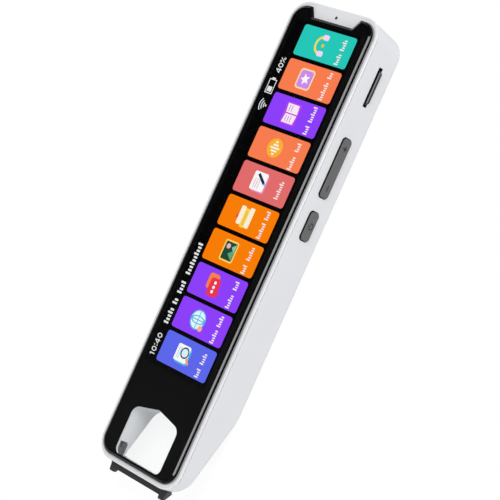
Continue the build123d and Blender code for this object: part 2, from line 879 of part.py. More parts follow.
# The pressed can over the wireless chip, open underneath.
shield_y = top_y - shield_inset
with BuildPart() as shield_can:
    on_board(shield_x, shield_y, shield_width, shield_length, shield_height)
    inside_can = (shield_width - 2 * shield_wall, shield_length - 2 * shield_wall)
    can_z = (board_top, board_top + shield_height - shield_wall)
    block(around(shield_x, inside_can[0]), around(shield_y, inside_can[1]), can_z, Mode.SUBTRACT)
shield_can.part.label = "shield_can"
export_step(shield_can.part, "parts/shield_can.step")

with BuildPart() as display_connector:
    connector_middle = connector_y + connector_length / 2
    on_board(connector_x, connector_middle, connector_width, connector_length, connector_height)
display_connector.part.label = "display_connector"
export_step(display_connector.part, "parts/display_connector.step")

# ----- Battery -----
battery_low = wall + battery_tape_thickness
battery_y = (tip_y + battery_tip_inset, battery_head_y)
battery_width = body_width - 2 * battery_side_inset

with BuildPart() as battery:
    block(around(0, battery_width), battery_y, (battery_low, battery_low + battery_thickness))
    fillet(battery.edges().filter_by(Axis.Y), battery_edge_radius)
battery.part.label = "battery"
export_step(battery.part, "parts/battery.step")

with BuildPart() as battery_tape:
    tape_y = (battery_y[0] + battery_edge_radius, battery_y[1] - battery_edge_radius)
    block(around(0, battery_tape_width), tape_y, (wall, battery_low))
battery_tape.part.label = "battery_tape"
export_step(battery_tape.part, "parts/battery_tape.step")

# The flat lead from the cell to pads under the main board.
with BuildPart() as battery_lead:
    lead_y = (battery_head_y, board_foot_y + battery_lead_run)
    lead_z = (board_low - battery_lead_thickness, board_low)
    lead_x = battery_lead_inset - battery_width / 2
    block(around(lead_x, battery_lead_width), lead_y, lead_z)
battery_lead.part.label = "battery_lead"
export_step(battery_lead.part, "parts/battery_lead.step")

# ----- Speaker -----
field_x = slot_pair_pitch + slot_pitch / 2 + slot_width / 2 + mesh_margin
field_y = slot_length / 2 + mesh_margin
mesh_top = wall + mesh_thickness
gasket_top = mesh_top + gasket_thickness

with BuildPart() as speaker_mesh:
    block(around(0, 2 * field_x), around(slot_y, 2 * field_y), (wall, mesh_top))
speaker_mesh.part.label = "speaker_mesh"
export_step(speaker_mesh.part, "parts/speaker_mesh.step")

with BuildPart() as speaker_gasket:
    block(around(0, 2 * field_x), around(slot_y, 2 * field_y), (mesh_top, gasket_top))
    inner_field = (2 * (field_x - gasket_rim), 2 * (field_y - gasket_rim))
    block(around(0, inner_field[0]), around(slot_y, inner_field[1]), (mesh_top, gasket_top), Mode.SUBTRACT)
speaker_gasket.part.label = "speaker_gasket"
export_step(speaker_gasket.part, "parts/speaker_gasket.step")

with BuildPart() as speaker:
    speaker_z = (gasket_top, gasket_top + speaker_height)
    speaker_x = half_width - speaker_side_inset
    block((-speaker_x, speaker_x), around(slot_y, speaker_length), speaker_z)
    fillet(speaker.edges().filter_by(Axis.Z), speaker_edge_radius)
speaker.part.label = "speaker"
export_step(speaker.part, "parts/speaker.step")

# ----- Camera in the back -----
ring_face_z = -camera_ring_proud
face_z = ring_face_z + camera_face_recess
face_back_z = face_z + camera_face_thickness
barrel_z = ring_face_z + camera_barrel_recess
ring_back_z = ring_face_z + camera_ring_height
camera_mouth = camera_face_diameter / 2

# The white ring, glued into the shell, with a step that the black face sits on.
with BuildPart() as camera_ring:
    with Locations((0, camera_y, (ring_face_z + ring_back_z) / 2)):
        Cylinder(camera_ring_diameter / 2 - camera_fit_gap, camera_ring_height)
    fillet(camera_ring.edges().group_by(Axis.Z)[0], camera_ring_edge)
    with Locations((0, camera_y, (ring_face_z + face_back_z) / 2)):
        Cylinder(camera_mouth, face_back_z - ring_face_z, mode=Mode.SUBTRACT)
    with Locations((0, camera_y, (ring_face_z + ring_back_z) / 2)):
        Cylinder(camera_mouth - camera_ring_step, camera_ring_height, mode=Mode.SUBTRACT)
camera_ring.part.label = "camera_ring"
export_step(camera_ring.part, "parts/camera_ring.step")

with BuildPart() as camera_face:
    with Locations((0, camera_y, (face_z + face_back_z) / 2)):
        Cylinder(camera_mouth - camera_fit_gap, camera_face_thickness)
        Cylinder(camera_throat_diameter / 2, camera_face_thickness, mode=Mode.SUBTRACT)
camera_face.part.label = "camera_face"
export_step(camera_face.part, "parts/camera_face.step")

# The lens barrel, with a funnel down to the lens.
with BuildPart() as camera_barrel:
    outer = camera_throat_diameter / 2 - camera_fit_gap
    cone_z = barrel_z + camera_cone_depth
    with BuildSketch(Plane.XZ.offset(-camera_y)):
        with BuildLine():
            Polyline(
                (0, ring_back_z),
                (outer, ring_back_z),
                (outer, barrel_z),
                (outer - camera_barrel_rim, barrel_z),
                (camera_lens_diameter / 2, cone_z),
                (0, cone_z),
                close=True,
            )
        make_face()
    revolve(axis=Axis((0, camera_y, 0), (0, 0, 1)))
camera_barrel.part.label = "camera_barrel"
export_step(camera_barrel.part, "parts/camera_barrel.step")

with BuildPart() as camera_lens:
    lens_x = camera_lens_diameter / 2 - camera_fit_gap
    with BuildSketch(Plane.XZ.offset(-camera_y)):
        with BuildLine():
            dome = ThreePointArc(
                (-lens_x, cone_z),
                (0, cone_z - camera_lens_rise),
                (lens_x, cone_z),
            )
            Line(dome @ 1, dome @ 0)
        make_face()
        split(bisect_by=Plane.YZ, keep=Keep.TOP)
    revolve(axis=Axis((0, camera_y, 0), (0, 0, 1)))
camera_lens.part.label = "camera_lens"
export_step(camera_lens.part, "parts/camera_lens.step")

with BuildPart() as camera_module:
    module_z = (ring_back_z, ring_back_z + camera_housing_height)
    block(around(0, camera_housing_size), around(camera_y, camera_housing_size), module_z)
    fillet(camera_module.edges().filter_by(Axis.Z), speaker_edge_radius)
camera_module.part.label = "camera_module"
export_step(camera_module.part, "parts/camera_module.step")

# ----- Microphone -----
with BuildPart() as microphone:
    on_board(0, board_head_y - mic_length / 2, mic_width, mic_length, mic_height)
microphone.part.label = "microphone"
export_step(microphone.part, "parts/microphone.step")

# The rubber boot that leads sound from the bezel's channel down to the microphone.
with BuildPart() as microphone_boot:
    boot_z = (board_top + mic_height, ledge_low)
    block(around(0, boot_width), around(mic_y, boot_length), boot_z)
    with Locations((0, mic_y, sum(boot_z) / 2)):
        Cylinder(mic_hole_diameter / 2, boot_z[1] - boot_z[0], mode=Mode.SUBTRACT)
microphone_boot.part.label = "microphone_boot"
export_step(microphone_boot.part, "parts/microphone_boot.step")

# ----- Charging socket -----
with BuildPart() as usb_socket:
    with BuildSketch(Plane.XZ.offset(-usb_mouth_y)):
        with Locations((0, usb_z)):
            SlotOverall(usb_width, usb_height)
    extrude(amount=usb_length)
    with BuildSketch(Plane.XZ.offset(-usb_mouth_y)):
        with Locations((0, usb_z)):
            SlotOverall(usb_width - 2 * usb_wall, usb_height - 2 * usb_wall)
    extrude(amount=usb_length - 2 * usb_wall, mode=Mode.SUBTRACT)
    back_y = usb_mouth_y - usb_length + 2 * usb_wall
    tongue_y = (back_y, back_y + usb_tongue_length)
    block(around(0, usb_tongue_width), tongue_y, around(usb_z, usb_tongue_thickness))
usb_socket.part.label = "usb_socket"
export_step(usb_socket.part, "parts/usb_socket.step")

# ----- Memory card and its socket -----
card_axis_z = card_z - card_drop
card_x = (half_width + card_proud - card_length, half_width + card_proud)
card_room = card_thickness + 2 * card_gap

with BuildPart() as card_socket:
    socket_x = (inner_x - card_gap - socket_length, inner_x - card_gap)
    socket_z = (card_axis_z - card_room / 2 - socket_wall, board_low)
    block(socket_x, around(card_y, socket_width), socket_z)
    hollow_x = (card_x[0] - card_gap, inner_x)
    hollow_y = around(card_y, card_width + 2 * card_gap)
    block(hollow_x, hollow_y, around(card_axis_z, card_room), Mode.SUBTRACT)
card_socket.part.label = "card_socket"
export_step(card_socket.part, "parts/card_socket.step")

# The card: bevelled corners on the end that shows, a notch in one edge further in.
with BuildPart() as memory_card:
    block(card_x, around(card_y, card_width), around(card_axis_z, card_thickness))
    uprights = memory_card.edges().filter_by(Axis.Z).group_by(Axis.X)
    chamfer(uprights[-1], card_notch)
    fillet(memory_card.edges().filter_by(Axis.Z).group_by(Axis.X)[0], card_corner_radius)
    notch_x = around(sum(card_x) / 2 - card_notch, 2 * card_notch)
    notch_y = (card_y - card_width / 2, card_y - card_width / 2 + card_notch)
    block(notch_x, notch_y, around(card_axis_z, card_thickness), Mode.SUBTRACT)
memory_card.part.label = "memory_card"
export_step(memory_card.part, "parts/memory_card.step")

# ----- Side keys -----
with BuildPart() as side_key_board:
    board_range = (key_board_face_x - key_board_thickness, key_board_face_x)
    block(board_range, key_board_y, around(key_z, key_board_height))
side_key_board.part.label = "side_key_board"
export_step(side_key_board.part, "parts/side_key_board.step")


def side_switch(y):
    """A small push switch on the side keys' board, its plunger drawn at its pressed height."""
    block((key_board_face_x, switch_face_x), around(y, switch_width), around(key_z, switch_height))
    with Locations(((switch_face_x + plunger_tip_x) / 2, y, key_z)):
        Cylinder(plunger_diameter / 2, plunger_length, rotation=(0, 90, 0))


with BuildPart() as volume_switches:
    for side in (-1, 1):
        side_switch(volume_y + side * volume_switch_offset)
volume_switches.part.label = "volume_switches"
export_step(volume_switches.part, "parts/volume_switches.step")

with BuildPart() as power_switch:
    side_switch(power_y)
power_switch.part.label = "power_switch"
export_step(power_switch.part, "parts/power_switch.step")


def key_cap(y, size, back_x):
    """A key's cap from back_x out through the wall, its outer edge softened."""
    reach = half_width + key_proud - back_x
    with BuildSketch(Plane.YZ.offset(back_x)) as face:
        with Locations((y, key_z)):
            RectangleRounded(size[0], size[1], key_corner_radius)
    cap = extrude(face.sketch, amount=reach)
    fillet(cap.faces().sort_by(Axis.X)[-1].edges(), key_edge_radius)


# The volume rocker: its hub turns on a steel pin, and a stem at each end meets a switch.
with BuildPart() as volume_key:
    cap_back_x = inner_x - key_flange_gap
    key_cap(volume_y, volume_face, cap_back_x)
    hub_x = (rocker_pin_x - rocker_hub_width / 2, cap_back_x)
    block(hub_x, around(volume_y, rocker_hub_width), around(key_z, key_height))
    stem_x = (plunger_tip_x + plunger_gap + rocker_stroke, cap_back_x)
    for side in (-1, 1):
        stem_y = volume_y + side * volume_switch_offset
        block(stem_x, around(stem_y, stem_width), around(key_z, stem_width))
    with Locations((rocker_pin_x, volume_y, key_z)):
        Cylinder(rocker_pin_diameter / 2 + rocker_pin_gap, 2 * key_height, mode=Mode.SUBTRACT)
volume_key.part.label = "volume_key"
export_step(volume_key.part, "parts/volume_key.step")

with BuildPart() as rocker_pin:
    with Locations((rocker_pin_x, volume_y, key_z)):
        Cylinder(rocker_pin_diameter / 2, 2 * (rocker_ear_low + rocker_ear_height))
rocker_pin.part.label = "rocker_pin"
export_step(rocker_pin.part, "parts/rocker_pin.step")

# The power key: a flange behind the wall keeps it in, and its stem meets the switch.
with BuildPart() as power_key:
    flange_x = (inner_x - key_flange_gap - key_flange_thickness, inner_x - key_flange_gap)
    key_cap(power_y, power_face, flange_x[1])
    flange_size = (power_length + 2 * key_flange, key_height + 2 * key_flange)
    block(flange_x, around(power_y, flange_size[0]), around(key_z, flange_size[1]))
    stem_x = (plunger_tip_x + plunger_gap + power_travel, flange_x[0])
    block(stem_x, around(power_y, stem_width), around(key_z, stem_width))
power_key.part.label = "power_key"
export_step(power_key.part, "parts/power_key.step")

# ----- Wireless antenna, a thin foil on the left wall -----
with BuildPart() as wifi_antenna:
    antenna_y = top_y - antenna_inset
    foil_x = (-inner_x, -inner_x + antenna_thickness)
    block(foil_x, around(antenna_y, antenna_length), around(antenna_z, antenna_height))
    slit_y = (antenna_y - antenna_length / 2, antenna_y + antenna_length / 4)
    block(foil_x, slit_y, around(antenna_z, antenna_slit), Mode.SUBTRACT)
wifi_antenna.part.label = "wifi_antenna"
export_step(wifi_antenna.part, "parts/wifi_antenna.step")

# ----- Scanning camera, behind the head of the window's passage -----
scan_pane_y = (tower_head_y, tower_head_y + scan_window_thickness)
scan_barrel_y = (scan_pane_y[1] + scan_gap, scan_pane_y[1] + scan_gap + scan_barrel_length)
scan_housing_y = (scan_barrel_y[1], scan_barrel_y[1] + scan_housing_depth)
scan_board_y = (scan_housing_y[1], scan_housing_y[1] + scan_board_thickness)

with BuildPart() as scan_window:
    pane_width = scan_slot_width + 2 * scan_window_rim
    pane_height = scan_slot_height + 2 * scan_window_rim
    block(around(0, pane_width), scan_pane_y, around(scan_axis_z, pane_height))
scan_window.part.label = "scan_window"
export_step(scan_window.part, "parts/scan_window.step")

with BuildPart() as scan_camera:
    block(around(0, scan_housing_width), scan_housing_y, around(scan_axis_z, scan_housing_height))
    with Locations((0, sum(scan_barrel_y) / 2, scan_axis_z)):
        Cylinder(scan_barrel_diameter / 2, scan_barrel_length, rotation=(90, 0, 0))
    with Locations((0, scan_barrel_y[0] + scan_lens_thickness / 2, scan_axis_z)):
        Cylinder(scan_lens_diameter / 2, scan_lens_thickness, rotation=(90, 0, 0), mode=Mode.SUBTRACT)
scan_camera.part.label = "scan_camera"
export_step(scan_camera.part, "parts/scan_camera.step")

with BuildPart() as scan_lens:
    with Locations((0, scan_barrel_y[0] + scan_lens_thickness / 2, scan_axis_z)):
        Cylinder(scan_lens_diameter / 2, scan_lens_thickness, rotation=(90, 0, 0))
scan_lens.part.label = "scan_lens"
export_step(scan_lens.part, "parts/scan_lens.step")

with BuildPart() as scan_board:
    block(around(0, scan_board_width), scan_board_y, around(scan_axis_z, scan_board_height))
scan_board.part.label = "scan_board"
export_step(scan_board.part, "parts/scan_board.step")

with BuildPart() as scan_leds:
    led_y = (scan_board_y[0] - scan_led_depth, scan_board_y[0])
    for side in (-1, 1):
        block(around(side * scan_led_offset, scan_led_width), led_y, around(scan_axis_z, scan_led_height))
scan_leds.part.label = "scan_leds"
export_step(scan_leds.part, "parts/scan_leds.step")

# ----- Scanning tip -----
bar_z = body_thickness - tip_front_depth
bar_inner_y = tip_y + bar_inner_inset
bar_heel = (tip_y - bar_heel_inset, bar_z - bar_heel_drop)
arm_z = (body_thickness - arm_back_depth, body_thickness - arm_front_depth)
flare_y = tip_y - tip_gap - tip_travel
arm_y = (flare_y, tip_y + arm_inset)
ear_y = (arm_y[1] - ear_length, arm_y[1])


def across(points, x, mode=Mode.ADD):
    """A prism over the range x of an outline given in (y, z)."""
    with BuildSketch(Plane.YZ.offset(x[0])) as outline:
        with BuildLine():
            Polyline(*points, close=True)
        make_face()
    extrude(outline.sketch, amount=x[1] - x[0], mode=mode)


def foot_form():
    """The right-hand foot: its outer edge follows the leg's rounded corner, its back a wedge."""
    toe_y = tip_y - foot_reach
    flare_x = passage_x + leg_corner_radius
    heel_y = tip_y - foot_heel_reach
    with BuildPart(mode=Mode.PRIVATE) as foot:
        with BuildSketch():
            with BuildLine():
                Polyline(
                    (foot_inner_x, bar_inner_y),
                    (flare_x, bar_inner_y),
                    (flare_x, flare_y),
                    (foot_outer_x, flare_y - foot_flare_run),
                    (foot_outer_x - foot_toe_taper, toe_y),
                    (foot_inner_x + foot_toe_taper, toe_y),
                    close=True,
                )
            make_face()
        extrude(amount=bar_z)
        fillet(foot.edges().filter_by(Axis.Z).group_by(Axis.Y)[0], foot_corner_radius)
        profile = [
            (toe_y, bar_z),
            (bar_inner_y, bar_z),
            (bar_inner_y, slope_z(bar_inner_y, tip_gap)),
            (heel_y, bar_z - foot_heel_drop),
            (toe_y, bar_z - foot_toe),
        ]
        across(profile, (0, half_width), Mode.INTERSECT)
        with BuildSketch():
            with Locations((0, -tip_travel)):
                add(leg_opening(tip_gap))
            with Locations((0, (flare_y + toe_y) / 2)):
                Rectangle(body_width, flare_y - toe_y)
        extrude(amount=bar_z, mode=Mode.INTERSECT)
    return foot.part


# The scanning tip: a bar between two feet that touch the page, on two arms that slide in the
# shell's legs.  Each arm has an ear, with a rod that guides a spring.
with BuildPart() as scan_tip:
    bar = [
        (tip_y - bar_reach, bar_z),
        (bar_inner_y, bar_z),
        (bar_inner_y, bar_z - bar_lip),
        bar_heel,
        (tip_y - bar_reach, bar_z - bar_back_rise),
    ]
    bar_x = foot_inner_x + foot_toe_taper
    across(bar, (-bar_x, bar_x))
    foot = foot_form()
    add(foot)
    add(foot.mirror(Plane.YZ))
    for side in (-1, 1):
        near, far = sorted((side * (arm_outer_x - arm_width), side * arm_outer_x))
        block((near, far), arm_y, (arm_z[0], bar_z))
        block((near, far), (arm_slot_start + tip_gap, tip_y + arm_step_inset), arm_z)
        near, far = sorted((side * (arm_outer_x - arm_width + arm_step), side * arm_outer_x))
        block((near, far), (tip_y + arm_step_inset, arm_y[1]), arm_z)
        near, far = sorted((side * (arm_outer_x - tip_gap), side * (arm_outer_x + ear_width)))
        block((near, far), ear_y, (arm_z[1] - ear_drop, arm_z[1]))
        with Locations((side * rod_axis_x, arm_y[1] + rod_length / 2, rod_z)):
            Cylinder(rod_diameter / 2, rod_length, rotation=(90, 0, 0))
scan_tip.part.label = "scan_tip"
export_step(scan_tip.part, "parts/scan_tip.step")

# The pale strip along the bar's inner bevel, which throws the lamps' light onto the page.
slope_run_y = bar_heel[0] - bar_inner_y
slope_run_z = bar_heel[1] - (bar_z - bar_lip)
slope_length = (slope_run_y**2 + slope_run_z**2) ** 0.5
lift_y = -slope_run_z / slope_length * reflector_thickness
lift_z = slope_run_y / slope_length * reflector_thickness
with BuildPart() as tip_reflector:
    strip = [
        (bar_inner_y, bar_z - bar_lip),
        bar_heel,
        (bar_heel[0] + lift_y, bar_heel[1] + lift_z),
        (bar_inner_y + lift_y, bar_z - bar_lip + lift_z),
    ]
    strip_x = foot_inner_x - reflector_end_gap
    across(strip, (-strip_x, strip_x))
tip_reflector.part.label = "tip_reflector"
export_step(tip_reflector.part, "parts/tip_reflector.step")

# The two coil springs on the tip's rods, pushing against the ribs in the shell's legs.
spring_low_y = arm_y[1] + spring_end_gap + spring_wire / 2
spring_high_y = rib_y - spring_end_gap - spring_wire / 2
spring_radius = (spring_diameter - spring_wire) / 2
with BuildPart() as tip_springs:
    for side in (-1, 1):
        start = (side * rod_axis_x, spring_low_y, rod_z)
        reach = spring_high_y - spring_low_y
        with BuildLine() as coil:
            Helix(spring_pitch, reach, spring_radius, center=start, direction=(0, 1, 0))
        with BuildSketch(Plane(origin=coil.line @ 0, z_dir=coil.line % 0)):
            Circle(spring_wire / 2)
        sweep(path=coil.line)
tip_springs.part.label = "tip_springs"
export_step(tip_springs.part, "parts/tip_springs.step")

# The switch that the right-hand rod presses, its plunger drawn at its pressed height.
with BuildPart() as tip_switch:
    block(around(rod_axis_x, switch_width), (tip_switch_y, switch_rib_y), around(rod_z, switch_height))
    with Locations((rod_axis_x, tip_switch_y - plunger_length / 2, rod_z)):
        Cylinder(plunger_diameter / 2, plunger_length, rotation=(90, 0, 0))
tip_switch.part.label = "tip_switch"
export_step(tip_switch.part, "parts/tip_switch.step")
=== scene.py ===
import bpy
import numpy as np
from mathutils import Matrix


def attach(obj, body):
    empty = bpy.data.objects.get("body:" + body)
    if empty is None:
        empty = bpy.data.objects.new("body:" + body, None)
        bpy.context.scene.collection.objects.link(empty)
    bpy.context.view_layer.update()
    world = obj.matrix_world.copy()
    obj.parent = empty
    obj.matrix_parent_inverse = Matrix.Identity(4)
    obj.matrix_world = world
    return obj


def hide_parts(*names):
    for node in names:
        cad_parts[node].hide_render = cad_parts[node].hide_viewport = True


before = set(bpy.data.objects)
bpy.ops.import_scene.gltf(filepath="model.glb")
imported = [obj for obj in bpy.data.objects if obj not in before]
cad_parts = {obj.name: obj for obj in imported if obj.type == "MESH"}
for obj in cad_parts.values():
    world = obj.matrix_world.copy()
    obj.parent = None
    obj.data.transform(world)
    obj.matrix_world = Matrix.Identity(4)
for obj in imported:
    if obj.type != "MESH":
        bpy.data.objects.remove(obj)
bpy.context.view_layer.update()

# A handheld translator pen that lies on its back, with the scanning tip at -Y, its keys on +X and
# the screen facing up.  Sizes are written in millimetres and turned to metres as a mesh is made.


# ----- Rear shell -----
# The shell is one injection moulding of white ABS with a fine spark-eroded skin, which breaks up
# its highlights.  The bezel screws down on it and holds the glass.
def linear(colour):
    """sRGB hex to linear RGBA: a channel c of 0 to 1 is c/12.92 up to 0.04045, and above that
    ((c + 0.055) / 1.055) to the power 2.4."""
    c = np.array([int(colour[i:i + 2], 16) for i in (1, 3, 5)]) / 255
    return (*np.where(c <= 0.04045, c / 12.92, ((c + 0.055) / 1.055) ** 2.4), 1.0)


def add(tree, kind, settings=None, links=None):
    """Adds a shader node.  A setting is a socket's value where it names one of the node's inputs,
    by name or by number, and otherwise the node's own property.  A link joins an input to a node's
    first output, or to the socket given."""
    made = tree.nodes.new("ShaderNode" + kind)
    for name, value in (settings or {}).items():
        if isinstance(name, int) or name in made.inputs:
            made.inputs[name].default_value = value
        else:
            setattr(made, name, value)
    for name, source in (links or {}).items():
        tree.links.new(getattr(source, "outputs", [source])[0], made.inputs[name])
    return made


def finish(name, settings, links=None):
    """Starts a material with one Principled shader.  links is a function that gets the node tree
    and the object's own coordinates, and gives the sockets it feeds."""
    material = bpy.data.materials.new(name)
    material.use_nodes = True
    tree = material.node_tree
    tree.nodes.clear()
    place = add(tree, "TexCoord").outputs["Object"]
    shader = add(tree, "BsdfPrincipled", settings, links(tree, place) if links else None)
    add(tree, "OutputMaterial", links={"Surface": shader})
    return material


def per_mm(size):
    """A pattern's scale for that size in mm, on coordinates in metres: 1000 / size."""
    return 1000 / size


def moulded(name, pale, deep, rough, grain, depth, extra=None):
    """A moulded plastic.  The colour drifts from pale to deep in soft patches 14 mm across, as the
    melt flows, the roughness moves by a tenth either way with the grain, and the grain is a bump
    of that depth, both in mm."""
    def links(tree, place):
        flow = add(tree, "TexNoise", {"Scale": per_mm(14), "Detail": 3.0, "Roughness": 0.55},
                   {"Vector": place})
        colour = add(tree, "Mix", {"data_type": "RGBA", 6: linear(pale), 7: linear(deep)},
                     {0: flow})
        skin = add(tree, "TexNoise", {"Scale": per_mm(grain), "Detail": 2.0}, {"Vector": place})
        gloss = add(tree, "MapRange", {"From Min": 0.3, "From Max": 0.7, "To Min": rough * 0.9,
                                       "To Max": rough * 1.1}, {"Value": skin})
        bump = add(tree, "Bump", {"Distance": depth / 1000}, {"Height": skin})
        return {"Base Color": colour.outputs[2], "Roughness": gloss, "Normal": bump}
    return finish(name, {"IOR": 1.5, **(extra or {})}, links)


def dress(material, *nodes):
    """Puts the material in every slot of those CAD nodes."""
    for node in nodes:
        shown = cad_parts[node]
        if not shown.material_slots:
            shown.data.materials.append(material)
        for place in shown.material_slots:
            place.material = material


# White ABS, spark-eroded: satin, and very slightly cool.  The grain is 0.05 mm on the real one and
# is drawn at 0.5 mm so that it shows at all.
white_abs = moulded("white satin ABS, spark-eroded", "#EDEEF1", "#E8E9ED", 0.42, 0.5, 0.0012)
dress(white_abs, "rear_shell")


# ----- Front bezel -----
# The bezel is the same white ABS from a polished mould, with a clear hard coat, so its rim takes a
# sharper highlight than the shell.
gloss_abs = moulded("white gloss ABS, hard coated", "#F0F1F4", "#ECEDF0", 0.22, 1.5, 0.0006,
                    {"Coat Weight": 0.15, "Coat Roughness": 0.15})
dress(gloss_abs, "front_bezel")


# ----- Cover glass -----
# One sheet of hardened glass, 1.1 mm thick, stands proud of the bezel with its edge ground to a
# bevel all round, and is bonded to the display.  A notch in its top goes round the bezel's tab.
def outline(corners, radii, inset=0.0, steps=9):
    """A closed path with rounded corners, anticlockwise, moved inwards by inset, all in mm.  Each
    corner moves along its mitre m = (n1 + n2) / (1 + n1.n2), where n1 and n2 are the outward
    normals of its two sides.  Its arc has the radius r, less the inset at an outward corner and
    plus it at an inward one, about corner - r m, with the normal turning evenly from n1 to n2."""
    corners, radii = np.asarray(corners, float), np.broadcast_to(radii, len(corners))
    ahead = np.roll(corners, -1, 0) - corners
    ahead /= np.linalg.norm(ahead, axis=1)[:, None]
    n2 = np.stack([ahead[:, 1], -ahead[:, 0]], 1)
    n1 = np.roll(n2, 1, 0)
    mitre = (n1 + n2) / (1 + (n1 * n2).sum(1))[:, None]
    turn = np.arctan2(n1[:, 0] * n2[:, 1] - n1[:, 1] * n2[:, 0], (n1 * n2).sum(1))
    signed = np.where(turn > 0, np.maximum(radii - inset, 0.02), -(radii + inset))
    angle = np.arctan2(n1[:, 1], n1[:, 0])[:, None] + turn[:, None] * np.linspace(0, 1, steps)
    normal = np.stack([np.cos(angle), np.sin(angle)], -1)
    centre = corners - inset * mitre - signed[:, None] * mitre
    return (centre[:, None] + signed[:, None, None] * normal).reshape(-1, 2)


def solid(name, verts, faces, material, body, slot):
    """Makes a piece from points in mm and its faces, and has it ride on the body.  Its four-sided
    faces are smooth, and the others, which fill its flat ends, stay flat."""
    mesh = bpy.data.meshes.new(name)
    mesh.from_pydata(np.asarray(verts, float) / 1000, [], faces)
    mesh.polygons.foreach_set("use_smooth", [len(face) == 4 for face in faces])
    mesh.materials.append(material)
    mesh.update()
    piece = bpy.data.objects.new(name, mesh)
    bpy.context.scene.collection.objects.link(piece)
    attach(piece, body)
    return piece


def stack(rings, hollow=False):
    """The points and faces of closed rings, lowest first: point j of ring i joins points j and
    j + 1 of ring i + 1 in a four-sided face.  The first and last rings are filled, or where the
    stack is a hollow sleeve, the last joins the first."""
    rings = np.asarray(rings, float)
    m, n = rings.shape[:2]
    i, j = np.meshgrid(np.arange(m if hollow else m - 1), np.arange(n), indexing="ij")
    k, up = (j + 1) % n, (i + 1) % m
    sides = np.stack([i * n + j, i * n + k, up * n + k, up * n + j], -1).reshape(-1, 4)
    ends = [] if hollow else [np.arange(n)[::-1].tolist(), ((m - 1) * n + np.arange(n)).tolist()]
    return rings.reshape(-1, 3), sides.tolist() + ends


glass_corners = [(-16.2, -73.35), (16.2, -73.35), (16.2, 73.35), (10.13, 73.35), (8.2, 70.3),
                 (-8.2, 70.3), (-10.13, 73.35), (-16.2, 73.35)]
glass_radii = [4.85, 4.85, 4.85, 0.1, 0.8, 0.8, 0.1, 4.85]
glass_top, glass_foot = 15.3, 14.19


def glass_ring(inset, z):
    """The glass's outline moved inwards by inset, at height z."""
    flat = outline(glass_corners, glass_radii, inset)
    return np.column_stack([flat, np.full(len(flat), z)])


# The edge is broken by 0.1 mm at its foot and rises straight.  At the angle a it turns in by
# turn (1 - cos a) and up by turn sin a, until the bevel's 22 degrees are left of a right angle.
# The bevel then rises evenly to the flat top, and takes the bright line of the strip light.
foot_break, turn, turn_end = 0.1, 0.08, 1.19
bevel, bevel_rise = 0.65, 0.26
glass_rings = [glass_ring(foot_break, glass_foot), glass_ring(0, glass_foot + foot_break)]
glass_rings += [glass_ring(turn * (1 - np.cos(a)), glass_top - bevel_rise - turn * (1 - np.sin(a)))
                for a in np.linspace(0, turn_end, 5)]
glass_rings += [glass_ring(turn + bevel * share, glass_top - bevel_rise * (1 - share))
                for share in (0.06, 0.12, 0.9, 0.96)]
glass_rings.append(glass_ring(turn + bevel * 1.03, glass_top))


# Hardened glass, polished: clear, with the faintest haze where fingers slide.  Lamps shine
# through it, so what lies under it is lit.
def clear_glass(name, settings, haze):
    """Clear glass.  Its roughness drifts from nothing to haze in smears 9 mm across, and a ray
    towards a lamp passes straight through."""
    def links(tree, place):
        smear = add(tree, "TexNoise", {"Scale": per_mm(9), "Detail": 4.0, "Distortion": 1.5},
                    {"Vector": place})
        return {"Roughness": add(tree, "MapRange", {"From Min": 0.45, "From Max": 0.75,
                                                    "To Min": 0.0, "To Max": haze},
                                 {"Value": smear})}
    material = finish(name, {"Transmission Weight": 1.0, "IOR": 1.52, **settings}, links)
    tree = material.node_tree
    shader = next(n for n in tree.nodes if n.type == "BSDF_PRINCIPLED")
    end = next(n for n in tree.nodes if n.type == "OUTPUT_MATERIAL")
    lamps = add(tree, "LightPath")
    both = add(tree, "MixShader", links={0: lamps.outputs["Is Shadow Ray"], 1: shader,
                                         2: add(tree, "BsdfTransparent")})
    tree.links.new(both.outputs[0], end.inputs["Surface"])
    return material


hard_glass = clear_glass("hardened cover glass, polished", {"Base Color": linear("#FBFDFD")}, 0.03)
glass_points, glass_faces = stack(glass_rings)
glass = solid("cover_glass_bevelled_edge", glass_points, glass_faces, hard_glass, "pen",
              "cover_glass")
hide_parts("cover_glass")

# The bevel and the upright side are as polished, and only the black ink shows behind them, so they
# are a black gloss: the bevel takes the bright line and the rest of the edge stays dark.
inked_edge = moulded("polished glass edge over black ink", "#0B0B0C", "#09090A", 0.03, 9.0, 0.0001,
                     {"IOR": 1.52})
glass.data.materials.append(inked_edge)
glass.data.polygons.foreach_set("material_index", [int(len(face) == 4) for face in glass_faces])


# ----- Display picture -----
# What the lit display shows, as flat shapes on the underside of the glass: a status strip along
# its -X side and ten tiles along the pen, each with a picture and blank blocks where words would
# be.  The picture reads from the tip upwards, so u runs along +Y and v, its upward, along -X.
def rounded(u0, v0, u1, v1, r):
    """A rectangle with rounded corners, as one filled face."""
    points = outline([(u0, v0), (u1, v0), (u1, v1), (u0, v1)], r, steps=6)
    return points, [np.arange(len(points))]


def polygon(*points):
    """A filled face with straight sides."""
    return np.array(points, float), [np.arange(len(points))]


def arc(u, v, outer, inner, start=0.0, end=360.0, squash=1.0):
    """A band about (u, v) between two radii, from the angle start to end in degrees: its points
    are radius (cos a, squash sin a), and neighbours make four-sided faces."""
    a = np.radians(np.linspace(start, end, 33))
    ring = np.stack([np.cos(a), squash * np.sin(a)], 1)
    points = np.concatenate([outer * ring, inner * ring]) + (u, v)
    i = np.arange(32)
    return points, list(np.stack([i, i + 1, i + 34, i + 33], 1))


def disc(u, v, radius, squash=1.0):
    """A filled circle, or an ellipse squash times as high as it is wide."""
    a = np.linspace(0, 2 * np.pi, 32, endpoint=False)
    return np.stack([u + radius * np.cos(a), v + squash * radius * np.sin(a)], 1), [np.arange(32)]


